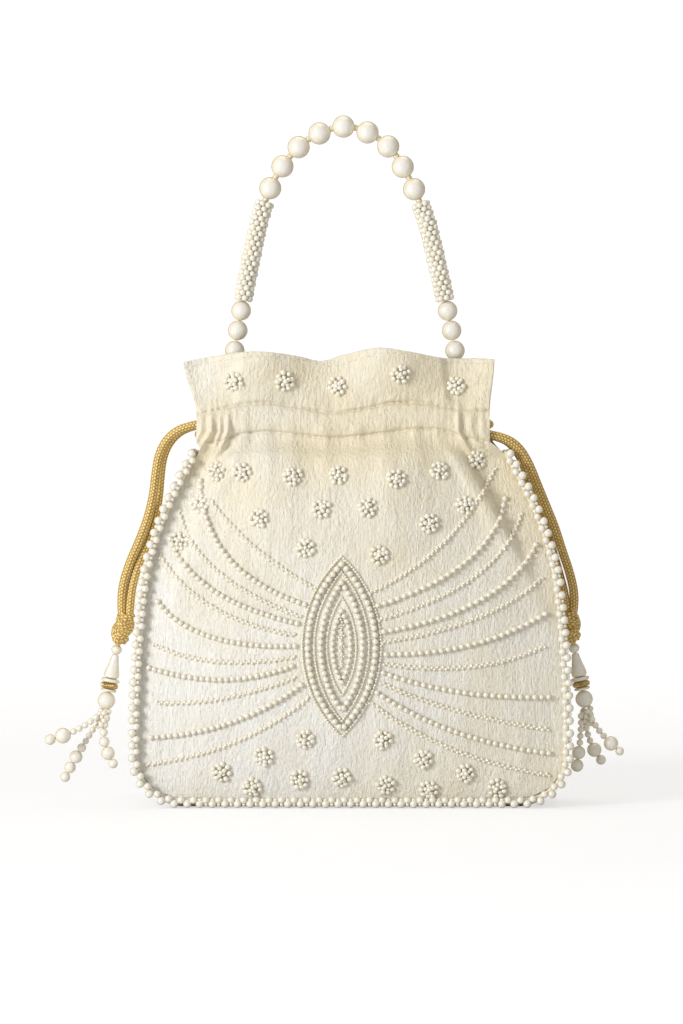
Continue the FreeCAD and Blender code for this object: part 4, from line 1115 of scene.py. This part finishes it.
def tasselPieces():
    # cap pearl, teardrop, discs and rope ring, turned about the line each tassel hangs in
    for side, place in tasselPlaces.items():
        body, lean = side + "_tassel", math.radians(11.3)
        down = np.array([place["out"] * math.sin(lean), 0.0, -math.cos(lean)])
        hinge = np.array([place["hinge"][0], 0.0, place["hinge"][1]])
        cap = [(2.45 * math.sin(a), -2.2 * math.cos(a)) for a in np.linspace(0.1, np.pi - 0.1, 18)]
        piece = lathePiece(side + "_cap", cap, hinge, down, body, largePearl, 32)
        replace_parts(piece, side + "_cap_pearl")
        drop = softProfile([(1.2, 2.3), (1.65, 2.6), (1.9, 4.4), (2.5, 7.2), (3.35, 10.4), (3.5, 11.8),
                            (3.1, 12.9), (1.6, 13.1)])
        piece = lathePiece(side + "_drop", drop, hinge, down, body, largePearl, 40)
        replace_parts(piece, side + "_teardrop")
        for k, (start, thickness, radius) in enumerate(((13.2, 1.9, 4.2), (17.9, 1.4, 3.6))):
            rim = softProfile([
                (0.9, start), (radius * 0.8, start), (radius, start + thickness * 0.3),
                (radius, start + thickness * 0.7), (radius * 0.8, start + thickness),
                (0.9, start + thickness)])
            piece = lathePiece(f"{side}_disc_{k}", rim, hinge, down, body, largePearl, 40)
            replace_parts(piece, side + "_discs")
        angle = np.linspace(0, np.pi, 12)
        rope = [(2.55 + 1.25 * math.sin(a), 16.5 - 1.25 * math.cos(a)) for a in angle]
        ring = lathePiece(side + "_rope_ring", rope, hinge, down, body, goldMetal, 168,
                          ridge=lambda turn, height: 0.24 * np.cos(28 * turn + 1.6 * (height - 16.5)))
        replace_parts(ring, side + "_gold_ring")


cordPieces()
channelCords()
knotPieces()
tasselPieces()
stringPieces()
print("cords and tassels ready")


# ---------- floor, light and camera ----------

studio = {
    # colour of the floor as a lamp sees it and as the camera sees it, and its glow to the camera
    "floor": (0.78, 0.78, 0.78), "paper": (0.46, 0.46, 0.46), "floorGlow": 0.59, "wallGlow": 0.84,
    "room": 0.50, "roomColour": (1.0, 0.975, 0.93, 1),
    # each lamp's place in metres, size, power and colour
    "lamps": {
        "key": ((-1.35, -1.25, 0.6), 0.6, 23.5, (0.98, 0.985, 1.0)),
        "fill": ((1.3, -0.9, 0.6), 1.2, 1.0, (1.0, 0.90, 0.76)),
        "top": ((0.1, 0.25, 1.5), 1.1, 5.0, (1.0, 0.96, 0.89)),
    },
    # the camera's distance in metres, its elevation in degrees, and in mm what it takes in and aims at
    "distance": 1.9, "elevation": 1.3, "viewHeight": 460.8, "aim": (-4.2, 0.0, 131.4),
}


def makeStudio():
    # a round floor whose edge curves up into a wall all round
    turn = np.linspace(0, 2 * np.pi, 96, endpoint=False)
    bend = np.linspace(0, np.pi / 2, 16)
    radius = np.concatenate([[1.0], 2200 + 900 * np.sin(bend), [3100.0]])
    height = np.concatenate([[0.0], 900 - 900 * np.cos(bend), [3600.0]])
    far, angle = np.meshgrid(radius, turn, indexing="ij")
    points = np.stack([far * np.cos(angle), far * np.sin(angle), np.repeat(height[:, None], 96, 1)], -1)
    verts = np.vstack([points.reshape(-1, 3), [[0, 0, 0]]])
    faces = gridFaces(len(radius), 96, wrapColumns=True, flip=True).tolist()
    faces += [[len(verts) - 1, i, (i + 1) % 96] for i in range(96)]
    mesh = bpy.data.meshes.new("floor")
    mesh.from_pydata((verts * mm).tolist(), [], faces)
    mesh.polygons.foreach_set("use_smooth", np.ones(len(mesh.polygons), dtype=bool))
    floor = bpy.data.objects.new("floor", mesh)
    bpy.context.scene.collection.objects.link(floor)
    material, nodes, links, shader = makeNodes("floor paper")
    shader.inputs["Roughness"].default_value = 0.9
    # the paper looks brighter than it is, so it stays near white and casts no extra light
    rays = nodes.new("ShaderNodeLightPath")
    tone = nodes.new("ShaderNodeMix")
    tone.data_type = "RGBA"
    tone.inputs[6].default_value = (*studio["floor"], 1)
    tone.inputs[7].default_value = (*studio["paper"], 1)
    links.new(rays.outputs["Is Camera Ray"], tone.inputs["Factor"])
    links.new(tone.outputs[2], shader.inputs["Base Color"])
    coords = nodes.new("ShaderNodeTexCoord")
    apart = nodes.new("ShaderNodeVectorMath")
    apart.operation = "LENGTH"
    links.new(coords.outputs["Object"], apart.inputs[0])
    glowRange = (studio["floorGlow"], studio["wallGlow"])
    climb = mapRange(nodes, links, apart.outputs["Value"], (0.25, 1.6), glowRange)
    glow = nodes.new("ShaderNodeMath")
    glow.operation = "MULTIPLY"
    links.new(rays.outputs["Is Camera Ray"], glow.inputs[0])
    links.new(climb, glow.inputs[1])
    shader.inputs["Emission Color"].default_value = (1, 1, 1, 1)
    links.new(glow.outputs[0], shader.inputs["Emission Strength"])
    mesh.materials.append(material)
    world = bpy.data.worlds.new("soft room")
    world.use_nodes = True
    world.node_tree.nodes["Background"].inputs[0].default_value = studio["roomColour"]
    world.node_tree.nodes["Background"].inputs[1].default_value = studio["room"]
    bpy.context.scene.world = world
    for name, (place, size, power, colour) in studio["lamps"].items():
        lamp = bpy.data.lights.new(name, "AREA")
        lamp.size = size
        lamp.energy = power
        lamp.color = colour
        holder = bpy.data.objects.new(name, lamp)
        bpy.context.scene.collection.objects.link(holder)
        holder.location = place
        away = np.array(place) - np.array([0, 0, 0.12])
        tilt = math.atan2(math.hypot(away[0], away[1]), away[2])
        holder.rotation_euler = (tilt, 0, math.atan2(away[1], away[0]) + math.pi / 2)


def makeCamera():
    # a long lens aimed at the bag from the front: focal length is film width times distance over view
    camera = bpy.data.cameras.new("camera")
    tilt = math.radians(studio["elevation"])
    distance = studio["distance"]
    camera.sensor_width = 36.0
    camera.lens = 36.0 * distance / (studio["viewHeight"] * mm)
    camera.clip_start = 0.05
    holder = bpy.data.objects.new("camera", camera)
    aim = np.array(studio["aim"]) * mm
    holder.location = aim + distance * np.array([0, -math.cos(tilt), math.sin(tilt)])
    holder.rotation_euler = (math.pi / 2 - tilt, 0, 0)
    bpy.context.scene.collection.objects.link(holder)
    bpy.context.scene.camera = holder


makeStudio()
makeCamera()
bpy.context.scene.view_settings.view_transform = "Standard"
